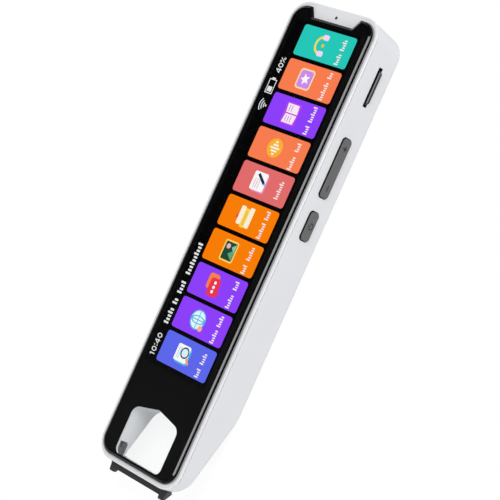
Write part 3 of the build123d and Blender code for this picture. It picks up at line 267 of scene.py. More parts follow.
def star(u, v, outer, inner):
    """A five-pointed star: ten corners, 36 degrees apart, by turns at the inner and outer radius."""
    a = np.arange(10)[::-1] * np.pi / 5
    radius = np.tile([outer, inner], 5)
    return np.stack([u + radius * np.sin(a), v - radius * np.cos(a)], 1), [np.arange(10)]


def stroke(u0, v0, u1, v1, width):
    """A straight line of that width, as one four-sided face that has it as its middle."""
    side = np.array([v0 - v1, u1 - u0]) / np.hypot(u1 - u0, v1 - v0) * width / 2
    points = np.array([(u0, v0) - side, (u1, v1) - side, (u1, v1) + side, (u0, v0) + side])
    return points, [np.arange(4)]


picture_x, picture_z, layer_step = 0.5, 14.196, 0.0015
tile_pitch, tile_length, tile_end, tile_left, tile_right = 11.124, 9.84, 67.9, -10.29, 11.22
name_foot, name_top, name_rise, block_width, block_pitch = -7.95, -6.95, 0.6, 0.42, 0.72
picture_points, picture_faces, picture_shades = [], [], []


def paint(shapes, along=0.0, layer=0):
    """Adds shapes of (points, faces, colour) to the picture, each a step above the one before,
    with their u measured from along.  A point (u, v) lies at X = picture_x - v, Y = along + u."""
    for step, ((points, faces), colour) in enumerate(shapes, layer):
        start = sum(map(len, picture_points))
        lifted = np.full(len(points), picture_z + step * layer_step)
        placed = np.column_stack([picture_x - points[:, 1], along + points[:, 0], lifted])
        picture_points.append(placed)
        picture_faces.extend((np.asarray(face) + start).tolist() for face in faces)
        picture_shades.append(np.tile(linear(colour), (len(points), 1)))


def page_lines(u0, u1, tops, colour, width=0.28):
    """Ruled lines across a page."""
    return [(stroke(u0, v, u1, v, width), colour) for v in tops]


def greeked(words, pitch):
    """Blank blocks in place of letters: where each starts, one every pitch in each word from u0
    to u1, and whether it is a tall one, which is each third from the word's first."""
    return [(u0 + i * pitch, i % 3 == 0)
            for u0, u1 in words for i in range(int((u1 - u0) / pitch))]


# Each tile is its colour, the two ends of each word under its picture, and the picture's shapes,
# lowest first, measured from the tile's middle.
tiles = [
    ("#25CCBC", [(-4.3, -0.6), (0.2, 4.2)], [     # headphones
        (arc(0, 0.6, 3.0, 2.3, 0, 180), "#FFE14A"), (rounded(-3.4, -0.9, -1.7, 1.5, 0.6), "#F6DBFB"),
        (rounded(1.7, -0.9, 3.4, 1.5, 0.6), "#F6DBFB"), (disc(0, 0.4, 0.55), "#F2C400")]),
    ("#FF7F50", [(-4.5, 1.6), (2.3, 4.6)], [      # a card with a star
        (rounded(-3.2, -1.6, 3.2, 4.4, 1.1), "#FFE3A6"),
        (rounded(-2.7, -1.1, 2.7, 3.9, 0.8), "#D48BF0"), (star(0, 1.4, 1.9, 0.85), "#FFFFFF")]),
    ("#9040FF", [(-4.4, -1.2), (-0.5, 4.6)], [    # an open book
        (rounded(-3.4, -1.9, 3.4, 3.9, 0.5), "#C54AEE"),
        (polygon((-3.0, -1.1), (-0.2, -1.5), (-0.2, 3.0), (-3.0, 3.4)), "#FFF1F8"),
        (polygon((0.2, -1.5), (3.0, -1.1), (3.0, 3.4), (0.2, 3.0)), "#FFF1F8")]
     + page_lines(-2.6, -0.7, (2.3, 1.3, 0.3), "#C06AF2")
     + page_lines(0.7, 2.6, (2.3, 1.3), "#C06AF2")),
    ("#FF7F50", [(-4.6, 0.4), (1.1, 4.4)], [      # a sound wave in a disc
        (disc(0, 1.2, 3.0), "#FFB52E")]
     + [(rounded(u - 0.27, 1.2 - h, u + 0.27, 1.2 + h, 0.26), "#FFFDEB")
        for u, h in ((-1.9, 0.5), (-0.95, 1.2), (0.0, 1.9), (0.95, 1.1), (1.9, 0.55))]),
    ("#E86E6E", [(-2.9, 3.1)], [                  # a page and a pencil
        (rounded(-3.1, -1.8, 2.7, 3.7, 0.7), "#F08FC4"),
        (rounded(-2.7, -1.2, 3.1, 4.3, 0.6), "#FFFFFF")]
     + page_lines(-2.1, 1.0, (3.1, 2.2, 1.3), "#E9A9C6")
     + [(stroke(0.0, -0.6, 2.4, 2.6, 0.95), "#1D2B45"),
        (stroke(-0.4, -1.15, 0.0, -0.6, 0.7), "#53C8EE")]),
    ("#FF8000", [(-4.4, 0.8), (1.5, 4.7)], [      # a stack of books
        (rounded(-3.1, -1.9, 3.3, -0.1, 0.4), "#FFF6DC"),
        (rounded(-3.3, -0.1, 2.7, 1.7, 0.4), "#FFD659"),
        (rounded(-2.7, 1.7, 3.1, 3.5, 0.4), "#FFF6DC"),
        (rounded(-1.0, 3.5, 0.2, 4.3, 0.2), "#E8465A")]
     + page_lines(-2.5, 2.0, (0.8,), "#F2A93B", 0.35)),
    ("#FF8000", [(-4.5, -1.0), (-0.3, 4.5)], [    # a framed view
        (rounded(-3.3, -1.7, 3.3, 3.9, 0.7), "#FFD968"),
        (rounded(-2.8, -1.2, 2.8, 3.4, 0.4), "#1F4A38"), (disc(1.4, 2.0, 0.8), "#F9B2C9"),
        (polygon((-2.6, -1.0), (0.9, -1.0), (-0.8, 1.3)), "#5FA77B"),
        (polygon((-0.3, -1.0), (2.6, -1.0), (1.3, 0.6)), "#8FCB9E")]),
    ("#9040FF", [(-4.4, 0.6), (1.3, 4.6)], [      # two speech balloons
        (rounded(-1.4, -0.2, 3.5, 4.1, 1.0), "#FF8347"),
        (rounded(-3.4, -1.3, 2.3, 2.9, 1.0), "#F0364E"),
        (polygon((-2.2, -2.4), (-0.6, -1.3), (-2.2, -1.2)), "#F0364E")]
     + [(disc(u, 0.8, 0.5), "#FFFFFF") for u in (-1.9, -0.5, 0.9)]),
    ("#9040FF", [(-4.5, 0.0), (0.7, 4.3)], [      # a globe
        (disc(0, 1.2, 3.1), "#E8FBFF"), (arc(0, 1.2, 3.1, 2.75), "#47B7E8"),
        (arc(0, 1.2, 1.3, 1.0, squash=2.25), "#47B7E8"),
        (stroke(-2.9, 1.2, 2.9, 1.2, 0.3), "#47B7E8"), (stroke(0, -1.7, 0, 4.1, 0.3), "#47B7E8"),
        (disc(-2.2, -0.9, 0.9), "#FFB08A")]),
    ("#5E68F0", [(-4.3, -0.9), (-0.2, 3.6)], [    # a note under a reading lens
        (rounded(-2.9, -1.9, 2.3, 3.5, 0.7), "#43BDEB"),
        (rounded(-2.4, -1.3, 2.8, 4.1, 0.6), "#FFFFFF")]
     + page_lines(-1.7, 1.9, (3.2, 2.4), "#9CC7F5")
     + [(disc(0.6, 0.5, 1.5), "#DDF5FF"), (arc(0.6, 0.5, 1.75, 1.3), "#22304E"),
        (stroke(-0.7, -0.8, -2.3, -2.3, 0.75), "#FF9F6B")]),
]

# The cell's dim border comes first, then the black of its dots, and the tiles on it.
paint([(rounded(-44.1, -14.0, 69.2, 15.0, 0.3), "#0D0D0E"),
       (rounded(-43.7, -12.1, 69.0, 14.9, 0.3), "#000000")])
for number, (backing, words, drawing) in enumerate(tiles):
    middle = tile_end - number * tile_pitch - tile_length / 2
    half = tile_length / 2
    tile = rounded(-half, -tile_right, half, -tile_left, 0.9)
    blocks = [(rounded(u, name_foot, u + block_width, name_top + name_rise * tall, 0.1), "#FBEFEC")
              for u, tall in greeked(words, block_pitch)]
    paint([(tile, backing)] + blocks + drawing, middle, layer=2)


# Status strip: a clock, blocks for the date, radio arcs, a battery and its charge.  Digits and
# blocks stand about text_v, and the radio and the battery about icon_v.
text_v, icon_v, radio_u, digit_half = 12.7, 13.0, 40.65, 1.0


def zero(u, v):
    """A nought: an upright ring, 1.36 times as high as it is wide."""
    return arc(u, v, 0.74, 0.46, squash=1.36)


def four(u, v):
    """A four: its upright, its bar and its slope."""
    return [stroke(u + 0.3, v - digit_half, u + 0.3, v + digit_half, 0.3),
            stroke(u - 0.75, v - 0.4, u + 0.7, v - 0.4, 0.28),
            stroke(u - 0.65, v - 0.35, u + 0.25, v + 0.95, 0.28)]


clock = [stroke(-40.8, text_v - digit_half, -40.8, text_v + digit_half, 0.3),
         stroke(-41.3, text_v + 0.55, -40.8, text_v + 0.95, 0.28), zero(-39.4, text_v),
         disc(-38.15, text_v - 0.55, 0.2), disc(-38.15, text_v + 0.55, 0.2),
         *four(-36.9, text_v), zero(-35.1, text_v)]
date_words = [(-31.0, -25.4), (-24.7, -21.9), (-21.2, -16.0), (-15.0, -4.4)]
date_blocks = [rounded(u, text_v - digit_half, u + 0.62, text_v + 0.45 + 0.5 * tall, 0.2)
               for u, tall in greeked(date_words, 1.05)]
radio = [arc(radio_u, icon_v - 1.55, outer, outer - 0.34, 48, 132) for outer in (2.95, 2.1, 1.25)]
radio.append(disc(radio_u, icon_v - 1.3, 0.32))
battery_case = [(44.4, -1.5, 49.0, -1.22), (44.4, 1.22, 49.0, 1.5), (44.4, -1.4, 44.68, 1.4),
                (48.72, -1.4, 49.0, 1.4), (49.0, -0.65, 49.5, 0.65)]
battery = [rounded(u0, icon_v + v0, u1, icon_v + v1, 0.1) for u0, v0, u1, v1 in battery_case]
battery.append(rounded(45.0, icon_v - 0.9, 46.6, icon_v + 0.9, 0.15))
charge = [*four(52.0, text_v), zero(53.65, text_v),
          stroke(54.75, text_v - 0.9, 56.0, text_v + 0.9, 0.26),
          arc(54.85, text_v + 0.6, 0.38, 0.18), arc(55.9, text_v - 0.6, 0.38, 0.18)]
marks = clock + date_blocks + radio + battery + charge
paint([(shape, "#E9EBED") for shape in marks], layer=2)


# A display, switched on: the cell is near black where it is dark, and its dots shine through the
# glass in even rows.  They are 0.1 mm apart on the real one, and drawn at 0.4 mm.
def lit_cell(tree, place):
    """The dots: the colour of each shape, dimmed a little between the rows and columns of dots."""
    shade = add(tree, "Attribute", {"attribute_name": "shade"})
    rows = add(tree, "TexBrick",
               {"Color1": (1, 1, 1, 1), "Color2": (0.97, 0.97, 0.97, 1),
                "Mortar": (0.86, 0.86, 0.86, 1), "Scale": per_mm(0.4), "offset": 0.0,
                "Mortar Size": 0.05, "Brick Width": 1.0, "Row Height": 1.0}, {"Vector": place})
    dots = add(tree, "Mix", {"data_type": "RGBA", "blend_type": "MULTIPLY", 0: 1.0},
               {6: shade.outputs["Color"], 7: rows})
    grain = add(tree, "TexNoise", {"Scale": per_mm(2), "Detail": 1.0}, {"Vector": place})
    dark = add(tree, "Mix", {"data_type": "RGBA", 6: linear("#020203"), 7: linear("#050506")},
               {0: grain})
    return {"Emission Color": dots.outputs[2], "Base Color": dark.outputs[2]}


lit_display = finish("lit display cell", {"Emission Strength": 1.04, "Roughness": 0.25, "IOR": 1.5,
                                          "Specular IOR Level": 0.0}, lit_cell)
picture = solid("display_picture", np.concatenate(picture_points), picture_faces, lit_display,
                "pen", "display_cell")
shades = picture.data.attributes.new("shade", "FLOAT_COLOR", "POINT")
shades.data.foreach_set("color", np.concatenate(picture_shades).ravel())


# ----- Ink, adhesive, tape and the layers of the display -----
# Black ink is screen printed on the underside of the glass, clear adhesive fills its opening, and
# black foam tape holds its edge to the bezel.  Under them lie the cell, backlight and steel tray.
# They are one bonded stack with the glass, so only the glass's outer faces mirror.
black_ink = moulded("black screen-printed ink", "#0B0B0C", "#09090A", 0.35, 0.3, 0.0004,
                    {"Specular IOR Level": 0.0})
dress(black_ink, "black_mask")


def sleeve(name, section, material, slot):
    """A thin band round the pen.  Each point of its section gives a ring: the path with those
    corners and radii, moved inwards by the inset, at that height."""
    rings = []
    for corners, radii, inset, height in section:
        flat = outline(corners, radii, inset)
        rings.append(np.column_stack([flat, np.full(len(flat), height)]))
    return solid(name, *stack(rings, hollow=True), material, "pen", slot)


# The same ink blacks the glass's upright side, in a coat 0.012 mm thick.
ink_foot, ink_top, ink_inner, ink_outer = 14.21, 14.95, -0.003, -0.015
ink_section = [(ink_inner, ink_foot), (ink_outer, ink_foot), (ink_outer, ink_top),
               (ink_inner, ink_top)]
sleeve("glass_edge_ink", [(glass_corners, glass_radii, *point) for point in ink_section],
       black_ink, "black_ink")

# A grey bead round the glass's foot is painted shade on the bezel beside the glass: it is widest along
# the keys' side, and highest against the glass.  A second grey bead, in the groove between bezel and
# shell, is the groove's painted dark line of shade.
grey_shade_bead = moulded("grey bead of painted shade", "#A2A2A4", "#9A9A9D", 0.55, 0.4, 0.003,
                        {"IOR": 1.43})
shade_bead_corners = [(-16.35, -73.5), (16.9, -73.5), (16.9, 73.5), (10.02, 73.5), (8.13, 70.2),
                (-8.13, 70.2), (-10.02, 73.5), (-16.35, 73.5)]
shade_bead_lip, shade_bead_top = 14.215, 14.235
sleeve("glass_foot_painted_shade",
       [(glass_corners, glass_radii, -0.02, glass_foot), (shade_bead_corners, glass_radii, 0, glass_foot),
        (shade_bead_corners, glass_radii, 0.03, shade_bead_lip), (glass_corners, glass_radii, -0.08, shade_bead_top),
        (glass_corners, glass_radii, -0.02, shade_bead_top)], grey_shade_bead, "boot_rubber")
body_corners = [(-17.85, -75), (17.85, -75), (17.85, 75), (-17.85, 75)]
body_radius, groove_foot, groove_top, groove_floor, groove_mouth = 6.5, 13.36, 13.53, 0.35, 0.22
groove_section = [(groove_floor, groove_foot), (groove_mouth, groove_foot),
                  (groove_mouth, groove_top), (groove_floor, groove_top)]
# The groove's grey bead is painted shade: it draws the groove's dark line.
sleeve("parting_groove_painted_shade", [(body_corners, body_radius, *point) for point in groove_section],
       grey_shade_bead, "boot_rubber")


def clear_adhesive(tree, place):
    """Cured clear adhesive, a trace warmer in thick places."""
    drift = add(tree, "TexNoise", {"Scale": per_mm(6)}, {"Vector": place})
    tint = add(tree, "Mix", {"data_type": "RGBA", 6: linear("#FFFFFF"), 7: linear("#FBFBF6")},
               {0: drift})
    return {"Base Color": tint.outputs[2]}


adhesive = finish("optical adhesive, cured", {"Transmission Weight": 1.0, "IOR": 1.0,
                                              "Roughness": 0.0, "Alpha": 0.02}, clear_adhesive)
dress(adhesive, "optical_adhesive")
foam_tape = moulded("black foam tape", "#151516", "#0E0E0F", 0.9, 0.35, 0.02, {"IOR": 1.45})
dress(foam_tape, "glass_tape")
cell_glass = moulded("unlit display cell", "#050506", "#08080A", 0.2, 2.0, 0.0003,
                     {"Specular IOR Level": 0.0})
dress(cell_glass, "display_panel")
milky_film = moulded("milky backlight film", "#EDEBE2", "#E2E0D6", 0.55, 0.3, 0.002)
dress(milky_film, "backlight")


def metal(name, pale, deep, rough, lines, depth, along=(1, 1, 1), extra=None):
    """A metal with drawn or rolled lines: noise of that size in mm, stretched by the factors in
    along, moves its colour from pale to deep and its roughness by a fifth, and is a bump."""
    def links(tree, place):
        turned = add(tree, "Mapping", {"Scale": along}, {"Vector": place})
        streaks = add(tree, "TexNoise", {"Scale": per_mm(lines), "Detail": 3.0}, {"Vector": turned})
        colour = add(tree, "Mix", {"data_type": "RGBA", 6: linear(pale), 7: linear(deep)},
                     {0: streaks})
        gloss = add(tree, "MapRange", {"From Min": 0.3, "From Max": 0.7, "To Min": rough * 0.8,
                                       "To Max": rough * 1.2}, {"Value": streaks})
        bump = add(tree, "Bump", {"Distance": depth / 1000}, {"Height": streaks})
        return {"Base Color": colour.outputs[2], "Roughness": gloss, "Normal": bump}
    return finish(name, {"Metallic": 1.0, **(extra or {})}, links)


tray_steel = metal("rolled stainless sheet", "#C2C3C5", "#A9AAAC", 0.32, 0.4, 0.002, (1, 0.05, 1))
dress(tray_steel, "display_tray")


def copper_tracks(tree, place):
    """Tracks 0.4 mm apart run along the film as darker and paler bands.  A wave texture repeats
    every pi / (10 Scale)."""
    tracks = add(tree, "TexWave", {"Scale": per_mm(0.4) * np.pi / 10, "bands_direction": "X"},
                 {"Vector": place})
    film = add(tree, "Mix", {"data_type": "RGBA", 6: linear("#8A4A12"), 7: linear("#C27A2A")},
               {0: tracks.outputs[1]})
    bump = add(tree, "Bump", {"Distance": 0.00002}, {"Height": tracks.outputs[1]})
    return {"Base Color": film.outputs[2], "Normal": bump}


polyimide = finish("polyimide film with copper tracks", {"Roughness": 0.3, "IOR": 1.6}, copper_tracks)
dress(polyimide, "display_flex")


# ----- Inner frame and its screws -----
# A frame of dark glass-filled nylon carries the board, the battery and the display, and six
# plated steel screws pull it and the bezel together.
filled_nylon = moulded("dark glass-filled nylon", "#3C3C3F", "#333336", 0.6, 0.4, 0.01)
dress(filled_nylon, "mid_frame")
plated_steel = metal("zinc plated steel", "#C4C4C6", "#ADAEB0", 0.28, 0.25, 0.001)
dress(plated_steel, "frame_screws")


# ----- Main board and its parts -----
# A four-layer board with dark green solder mask.  Its parts are soldered on, and a tinned can
# shields the radio.
def solder_mask(tree, place):
    """Tracks under the mask show paler: cells 1.6 mm across with edges that bend like tracks."""
    tracks = add(tree, "TexVoronoi", {"feature": "DISTANCE_TO_EDGE", "Scale": per_mm(1.6)},
                 {"Vector": place})
    edge = add(tree, "MapRange", {"From Min": 0.02, "From Max": 0.07, "To Min": 1.0,
                                  "To Max": 0.0}, {"Value": tracks})
    mask = add(tree, "Mix", {"data_type": "RGBA", 6: linear("#0E3A2C"), 7: linear("#1C5A43")},
               {0: edge})
    bump = add(tree, "Bump", {"Distance": 0.00003}, {"Height": edge})
    return {"Base Color": mask.outputs[2], "Normal": bump}


green_board = finish("circuit board, green solder mask", {"Roughness": 0.35, "IOR": 1.5}, solder_mask)
dress(green_board, "main_board", "side_key_board", "scan_board")
chip_epoxy = moulded("black moulding epoxy", "#1E1E20", "#19191B", 0.55, 0.2, 0.004)
dress(chip_epoxy, "processor", "memory_chips", "power_chips")
tinned_can = metal("tinned steel can", "#CACAC8", "#B4B4B2", 0.3, 0.6, 0.002)
dress(tinned_can, "shield_can")
black_lcp = moulded("black connector LCP", "#2B2B2C", "#242425", 0.45, 0.3, 0.003)
dress(black_lcp, "display_connector", "card_socket")


# ----- Battery -----
# A lithium pouch in laminated aluminium foil, stuck to the frame, with a red lead to the board.
pouch_foil = metal("laminated aluminium pouch", "#C6C8CB", "#B2B4B8", 0.35, 2.5, 0.03)
dress(pouch_foil, "battery")
pale_tape = moulded("pale double-sided tape", "#DADAD2", "#CFCFC6", 0.7, 0.8, 0.01)
dress(pale_tape, "battery_tape")
red_pvc = moulded("red PVC insulation", "#8E1A1A", "#7C1414", 0.4, 0.5, 0.002)
dress(red_pvc, "battery_lead")


# ----- Speaker and microphone -----
# The speaker plays through the slots in the shell's back, behind a woven dust mesh on a foam
# gasket.  The microphone listens through a rubber boot under the hole in the tab.
black_pbt = moulded("black PBT", "#202022", "#1B1B1C", 0.5, 0.3, 0.004)
dress(black_pbt, "speaker", "camera_module")


def woven(tree, place):
    """Two sets of threads, one along X and one along Y, 0.2 mm apart on the real mesh and drawn at
    0.35 mm: the higher of the two waves is the thread on top."""
    warp, weft = (add(tree, "TexWave", {"Scale": per_mm(0.35) * np.pi / 10, "bands_direction": way},
                      {"Vector": place}) for way in "XY")
    over = add(tree, "Math", {"operation": "MAXIMUM"}, {0: warp.outputs[1], 1: weft.outputs[1]})
    thread = add(tree, "Mix", {"data_type": "RGBA", 6: linear("#050505"), 7: linear("#2E2E31")},
                 {0: over})
    bump = add(tree, "Bump", {"Distance": 0.00006}, {"Height": over})
    return {"Base Color": thread.outputs[2], "Normal": bump}


dust_mesh = finish("woven dust mesh, black", {"Roughness": 0.6, "IOR": 1.5, "Sheen Weight": 0.2}, woven)
dress(dust_mesh, "speaker_mesh")
black_foam = moulded("black foam", "#1B1B1B", "#101010", 0.95, 0.4, 0.04, {"IOR": 1.4})
dress(black_foam, "speaker_gasket")
mic_can = metal("gilt microphone can", "#D2C6A4", "#BFB391", 0.3, 0.3, 0.001)
dress(mic_can, "microphone")
boot_rubber = moulded("dark silicone rubber", "#2A2A2B", "#232324", 0.7, 0.3, 0.003, {"IOR": 1.43})
dress(boot_rubber, "microphone_boot")

# A disc of the dust mesh closes the microphone's hole, 0.1 mm under the tab's face.  It dishes
# down towards its middle: at the radius r it lies dish (1 - r / radius) under its rim.
mesh_y, mesh_top, mesh_radius, mesh_edge, dish = 72.2, 14.1, 0.5, 0.15, 0.08
turns = np.linspace(0, 2 * np.pi, 32, endpoint=False)
mesh_profile = [(mesh_radius, mesh_top - mesh_edge)]
mesh_profile += [(r, mesh_top - dish * (1 - r / mesh_radius)) for r in (0.5, 0.4, 0.3, 0.2, 0.1)]
mesh_rings = [np.column_stack([r * np.cos(turns), mesh_y + r * np.sin(turns), np.full(32, z)])
              for r, z in mesh_profile]
solid("microphone_mesh", *stack(mesh_rings), dust_mesh, "pen", "speaker_mesh")


# ----- Camera in the back -----
# A white ring, pressed into the shell, frames a gloss black face.  The barrel steps down behind it
# to a small lens whose coating looks violet in the middle and blue round it.
camera_y = 43.8
dress(gloss_abs, "camera_ring")
gloss_black = moulded("gloss black acrylic", "#0C0C0D", "#0A0A0B", 0.06, 3.0, 0.0002,
                      {"Coat Weight": 0.5})
dress(gloss_black, "camera_face")


def from_axis(tree, place):
    """The distance in metres from the camera's axis, which runs along Z through X = 0 and camera_y:
    the length of (X, Y - camera_y)."""
    centred = add(tree, "Mapping", {"Location": (0, -camera_y / 1000, 0)}, {"Vector": place})
    flat = add(tree, "VectorMath", {"operation": "MULTIPLY", 1: (1, 1, 0)}, {0: centred})
    return add(tree, "VectorMath", {"operation": "LENGTH"}, {0: flat}).outputs["Value"]


def turned_steps(tree, place):
    """Fine rings round the lens, 0.4 mm apart, keep stray light down: the sine of the distance
    from the axis."""
    wave = add(tree, "Math", {"operation": "MULTIPLY", 1: 2 * np.pi * per_mm(0.4)},
               {0: from_axis(tree, place)})
    ridge = add(tree, "Math", {"operation": "SINE"}, {0: wave})
    colour = add(tree, "Mix", {"data_type": "RGBA", 6: linear("#080809"), 7: linear("#161618")},
                 {0: ridge})
    bump = add(tree, "Bump", {"Distance": 0.00004}, {"Height": ridge})
    return {"Base Color": colour.outputs[2], "Normal": bump}


barrel_black = finish("blackened barrel", {"Roughness": 0.35, "IOR": 1.5}, turned_steps)
dress(barrel_black, "camera_barrel")


def lens_coating(tree, place):
    """The coating's colour goes from violet within 0.3 mm of the axis to blue 1.7 mm out.  The
    scanning camera's lens, far from that axis, is all blue."""
    share = add(tree, "MapRange", {"From Min": 0.0003, "From Max": 0.0017},
                {"Value": from_axis(tree, place)})
    colour = add(tree, "Mix", {"data_type": "RGBA", 6: linear("#3A1F5C"), 7: linear("#0C1A38")},
                 {0: share})
    return {"Base Color": colour.outputs[2]}


coated_lens = finish("coated lens glass", {"Roughness": 0.03, "IOR": 1.7, "Coat Weight": 1.0,
                                           "Coat Tint": linear("#B9B4FF")}, lens_coating)
dress(coated_lens, "camera_lens", "scan_lens")


# ----- Charging socket and memory card -----
# The socket is a drawn steel shell in the end wall.  The card is moulded black plastic with a pale band
# along its top by the outer edge, which is a painted highlight, and slides in and out of a slot in the
# +X side with its two outer corners cut off.
drawn_steel = metal("drawn stainless shell", "#C8C9CB", "#B0B1B3", 0.25, 0.3, 0.001, (1, 0.1, 1))
dress(drawn_steel, "usb_socket")


def card_painted_highlight(tree, place):
    """Black card plastic with a pale grey band across its top by the edge that shows, which is a
    painted
    highlight: it is where Z is over 7.1 mm and X over 18.1 mm."""
    where = add(tree, "SeparateXYZ", links={0: place})
    top = add(tree, "MapRange", {"From Min": 0.00705, "From Max": 0.00715},
              {"Value": where.outputs["Z"]})
    near = add(tree, "MapRange", {"From Min": 0.01808, "From Max": 0.01814},
               {"Value": where.outputs["X"]})
    band = add(tree, "Math", {"operation": "MULTIPLY"}, {0: top, 1: near})
    grain = add(tree, "TexNoise", {"Scale": per_mm(0.3), "Detail": 2.0}, {"Vector": place})
    black = add(tree, "Mix", {"data_type": "RGBA", 6: linear("#121213"), 7: linear("#0E0E0F")},
                {0: grain})
    # The pale grey band is a painted highlight along the card's top edge.
    colour = add(tree, "Mix", {"data_type": "RGBA", 7: linear("#8C8C8E")},
                 {0: band, 6: black.outputs[2]})
    bump = add(tree, "Bump", {"Distance": 0.000003}, {"Height": grain})
    return {"Base Color": colour.outputs[2], "Normal": bump}


card_plastic = finish("black card plastic, painted highlight band", {"Roughness": 0.4, "IOR": 1.5}, card_painted_highlight)
dress(card_plastic, "memory_card")


slot_corners, slot_radius = [(50.65, 6.1), (63.15, 6.1), (63.15, 7.9), (50.65, 7.9)], 0.15
liner_inner, liner_lip, liner_end = 16.1, 17.78, 17.81


def slot_ring(x, inset):
    """The card slot's outline in Y and Z, moved inwards by inset, at that X in the wall."""
    flat = outline(slot_corners, slot_radius, inset)
    return np.column_stack([np.full(len(flat), x), flat])


# A thin black liner, 0.08 mm thick with a rounded lip, sleeves the slot through the wall.
liner_section = [(liner_inner, 0.005), (liner_lip, 0.005), (liner_end, 0.03), (liner_end, 0.07),
                 (liner_lip, 0.085), (liner_inner, 0.085)]
liner_rings = [slot_ring(x, inset) for x, inset in liner_section]
solid("card_slot_liner", *stack(liner_rings, hollow=True), black_lcp, "pen", "connector_plastic")


# ----- Side keys -----
# The caps' outer face is painted mid grey, and their sides are near black, which is painted shade for
# the gap round each cap.
# A rocker turns on a ground pin for the volume, the power key slides in, and each has its mark printed
# in near-black ink.
def grey_face_side_shade(tree, place):
    """Grey paint where X is over 18.2 mm, which is the face and the outer half of its rounded
    edge, and near black on the sides below, which is painted shade for the gap round the cap.  The
    paint's fine orange peel is 0.35 mm."""
    where = add(tree, "SeparateXYZ", links={0: place})
    coat = add(tree, "MapRange", {"From Min": 0.01817, "From Max": 0.01823},
               {"Value": where.outputs["X"]})
    peel = add(tree, "TexNoise", {"Scale": per_mm(0.35), "Detail": 2.0}, {"Vector": place})
    grey = add(tree, "Mix", {"data_type": "RGBA", 6: linear("#5F5F60"), 7: linear("#595959")},
               {0: peel})
    # Near black on the sides: painted shade for the gap round the cap.
    colour = add(tree, "Mix", {"data_type": "RGBA", 6: linear("#101011")},
                 {0: coat, 7: grey.outputs[2]})
    bump = add(tree, "Bump", {"Distance": 0.0000015}, {"Height": peel})
    return {"Base Color": colour.outputs[2], "Normal": bump}


key_grey_face_shaded_sides = finish("grey-faced key, sides painted shade", {"Roughness": 0.38, "IOR": 1.5}, grey_face_side_shade)
dress(key_grey_face_shaded_sides, "volume_key", "power_key")
ground_pin = metal("ground steel pin", "#C6C6C8", "#B2B2B4", 0.22, 0.2, 0.0005)
dress(ground_pin, "rocker_pin", "tip_springs")
switch_metal = metal("switch cover steel", "#CDCDCA", "#B9B9B6", 0.3, 0.3, 0.001)
dress(switch_metal, "volume_switches", "power_switch", "tip_switch")
key_ink = moulded("near-black pad-printed ink", "#0E0E0F", "#0B0B0C", 0.5, 0.2, 0.0005)
cap_face, ink_depth, key_z = 18.4, 0.02, 7.65
up_y, down_y, power_y, mark_half, mark_width = 37.05, 24.5, 12.3, 0.95, 0.42


def print_on(name, shapes, body):
    """A printed mark over a cap's face, as flat shapes of (points, faces) in Y and Z."""
    verts, faces, start = [], [], 0
    for points, parts in shapes:
        verts.append(np.column_stack([np.full(len(points), cap_face + ink_depth), points]))
        faces += [(np.asarray(face) + start).tolist() for face in parts]
        start += len(points)
    return solid(name, np.concatenate(verts), faces, key_ink, body, "key_plastic")


print_on("volume_up_mark",
         [stroke(up_y - mark_half, key_z, up_y + mark_half, key_z, mark_width),
          stroke(up_y, key_z - mark_half, up_y, key_z + mark_half, mark_width)], "volume_key")
print_on("volume_down_mark", [stroke(down_y - 0.9, key_z, down_y + 0.9, key_z, mark_width)],
         "volume_key")
print_on("power_mark", [arc(power_y, key_z - 0.1, 1.1, 0.75, 125, 415),
                        stroke(power_y, key_z + 0.1, power_y, key_z + 1.3, 0.34)], "power_key")


# ----- Antenna -----
# Copper foil on a clear film, stuck inside the top end.
copper_foil = metal("copper foil", "#D79A6E", "#C4845A", 0.35, 0.8, 0.002)
dress(copper_foil, "wifi_antenna")


# ----- Scanner -----
# Behind a clear window in the passage's head wall, a small camera looks at the line under the tip
# and two white LEDs light it.
scanner_window = clear_glass("clear acrylic window",
                             {"IOR": 1.49, "Base Color": linear("#F6FAFA")}, 0.05)
dress(scanner_window, "scan_window")
dress(black_lcp, "scan_camera")
led_resin = moulded("LED resin, pale yellow", "#EFE7B4", "#E8DFA6", 0.3, 0.3, 0.001)
dress(led_resin, "scan_leds")


# ----- Scanning tip -----
# A dark grey satin bar slides in the shell on two wire springs, with a foot at each end that
# skates on the page.  A pale strip along its inner bevel throws light back at the page.
tip_abs = moulded("dark grey satin ABS", "#363638", "#303032", 0.42, 0.4, 0.0015)
dress(tip_abs, "scan_tip")
reflector = moulded("pale grey gloss strip", "#BFC0C2", "#B6B7B9", 0.25, 0.5, 0.0005)
dress(reflector, "tip_reflector")


# ----- Studio -----
# A white floor, a narrow strip light that draws the bright line on the glass's bevel, four soft
# fills, and a room that is white at the horizon and dim overhead.
floor_half, floor_z, passage_y = 4.0, -0.0003, -0.064
ground = bpy.data.materials.new("white sweep")
ground.use_nodes = True
sweep = ground.node_tree
sweep.nodes.clear()

# The floor is white to the camera, to mirrors and through glass.  It lights the pen at 0.6, and at
# 0.05 within 11 mm of the middle of the passage, so that the passage's walls are shaded.
rays = add(sweep, "LightPath")
seen = add(sweep, "Math", {"operation": "MAXIMUM"},
           {0: rays.outputs["Is Camera Ray"], 1: rays.outputs["Is Glossy Ray"]})
seen = add(sweep, "Math", {"operation": "MAXIMUM"}, {0: seen, 1: rays.outputs["Is Transmission Ray"]})
past = add(sweep, "VectorMath", {"operation": "DISTANCE", 1: (0.0, passage_y, floor_z)},
           {0: add(sweep, "TexCoord").outputs["Object"]})
shade = add(sweep, "MapRange", {"From Min": 0.011, "From Max": 0.021, "To Min": 0.05, "To Max": 0.6},
            {"Value": past.outputs["Value"]})
glow = add(sweep, "Mix", {3: 0.9}, {0: seen, 2: shade})
paper = add(sweep, "AddShader", links={0: add(sweep, "BsdfDiffuse", {"Color": (0.13, 0.13, 0.13, 1)}),
                                       1: add(sweep, "Emission", links={"Strength": glow})})

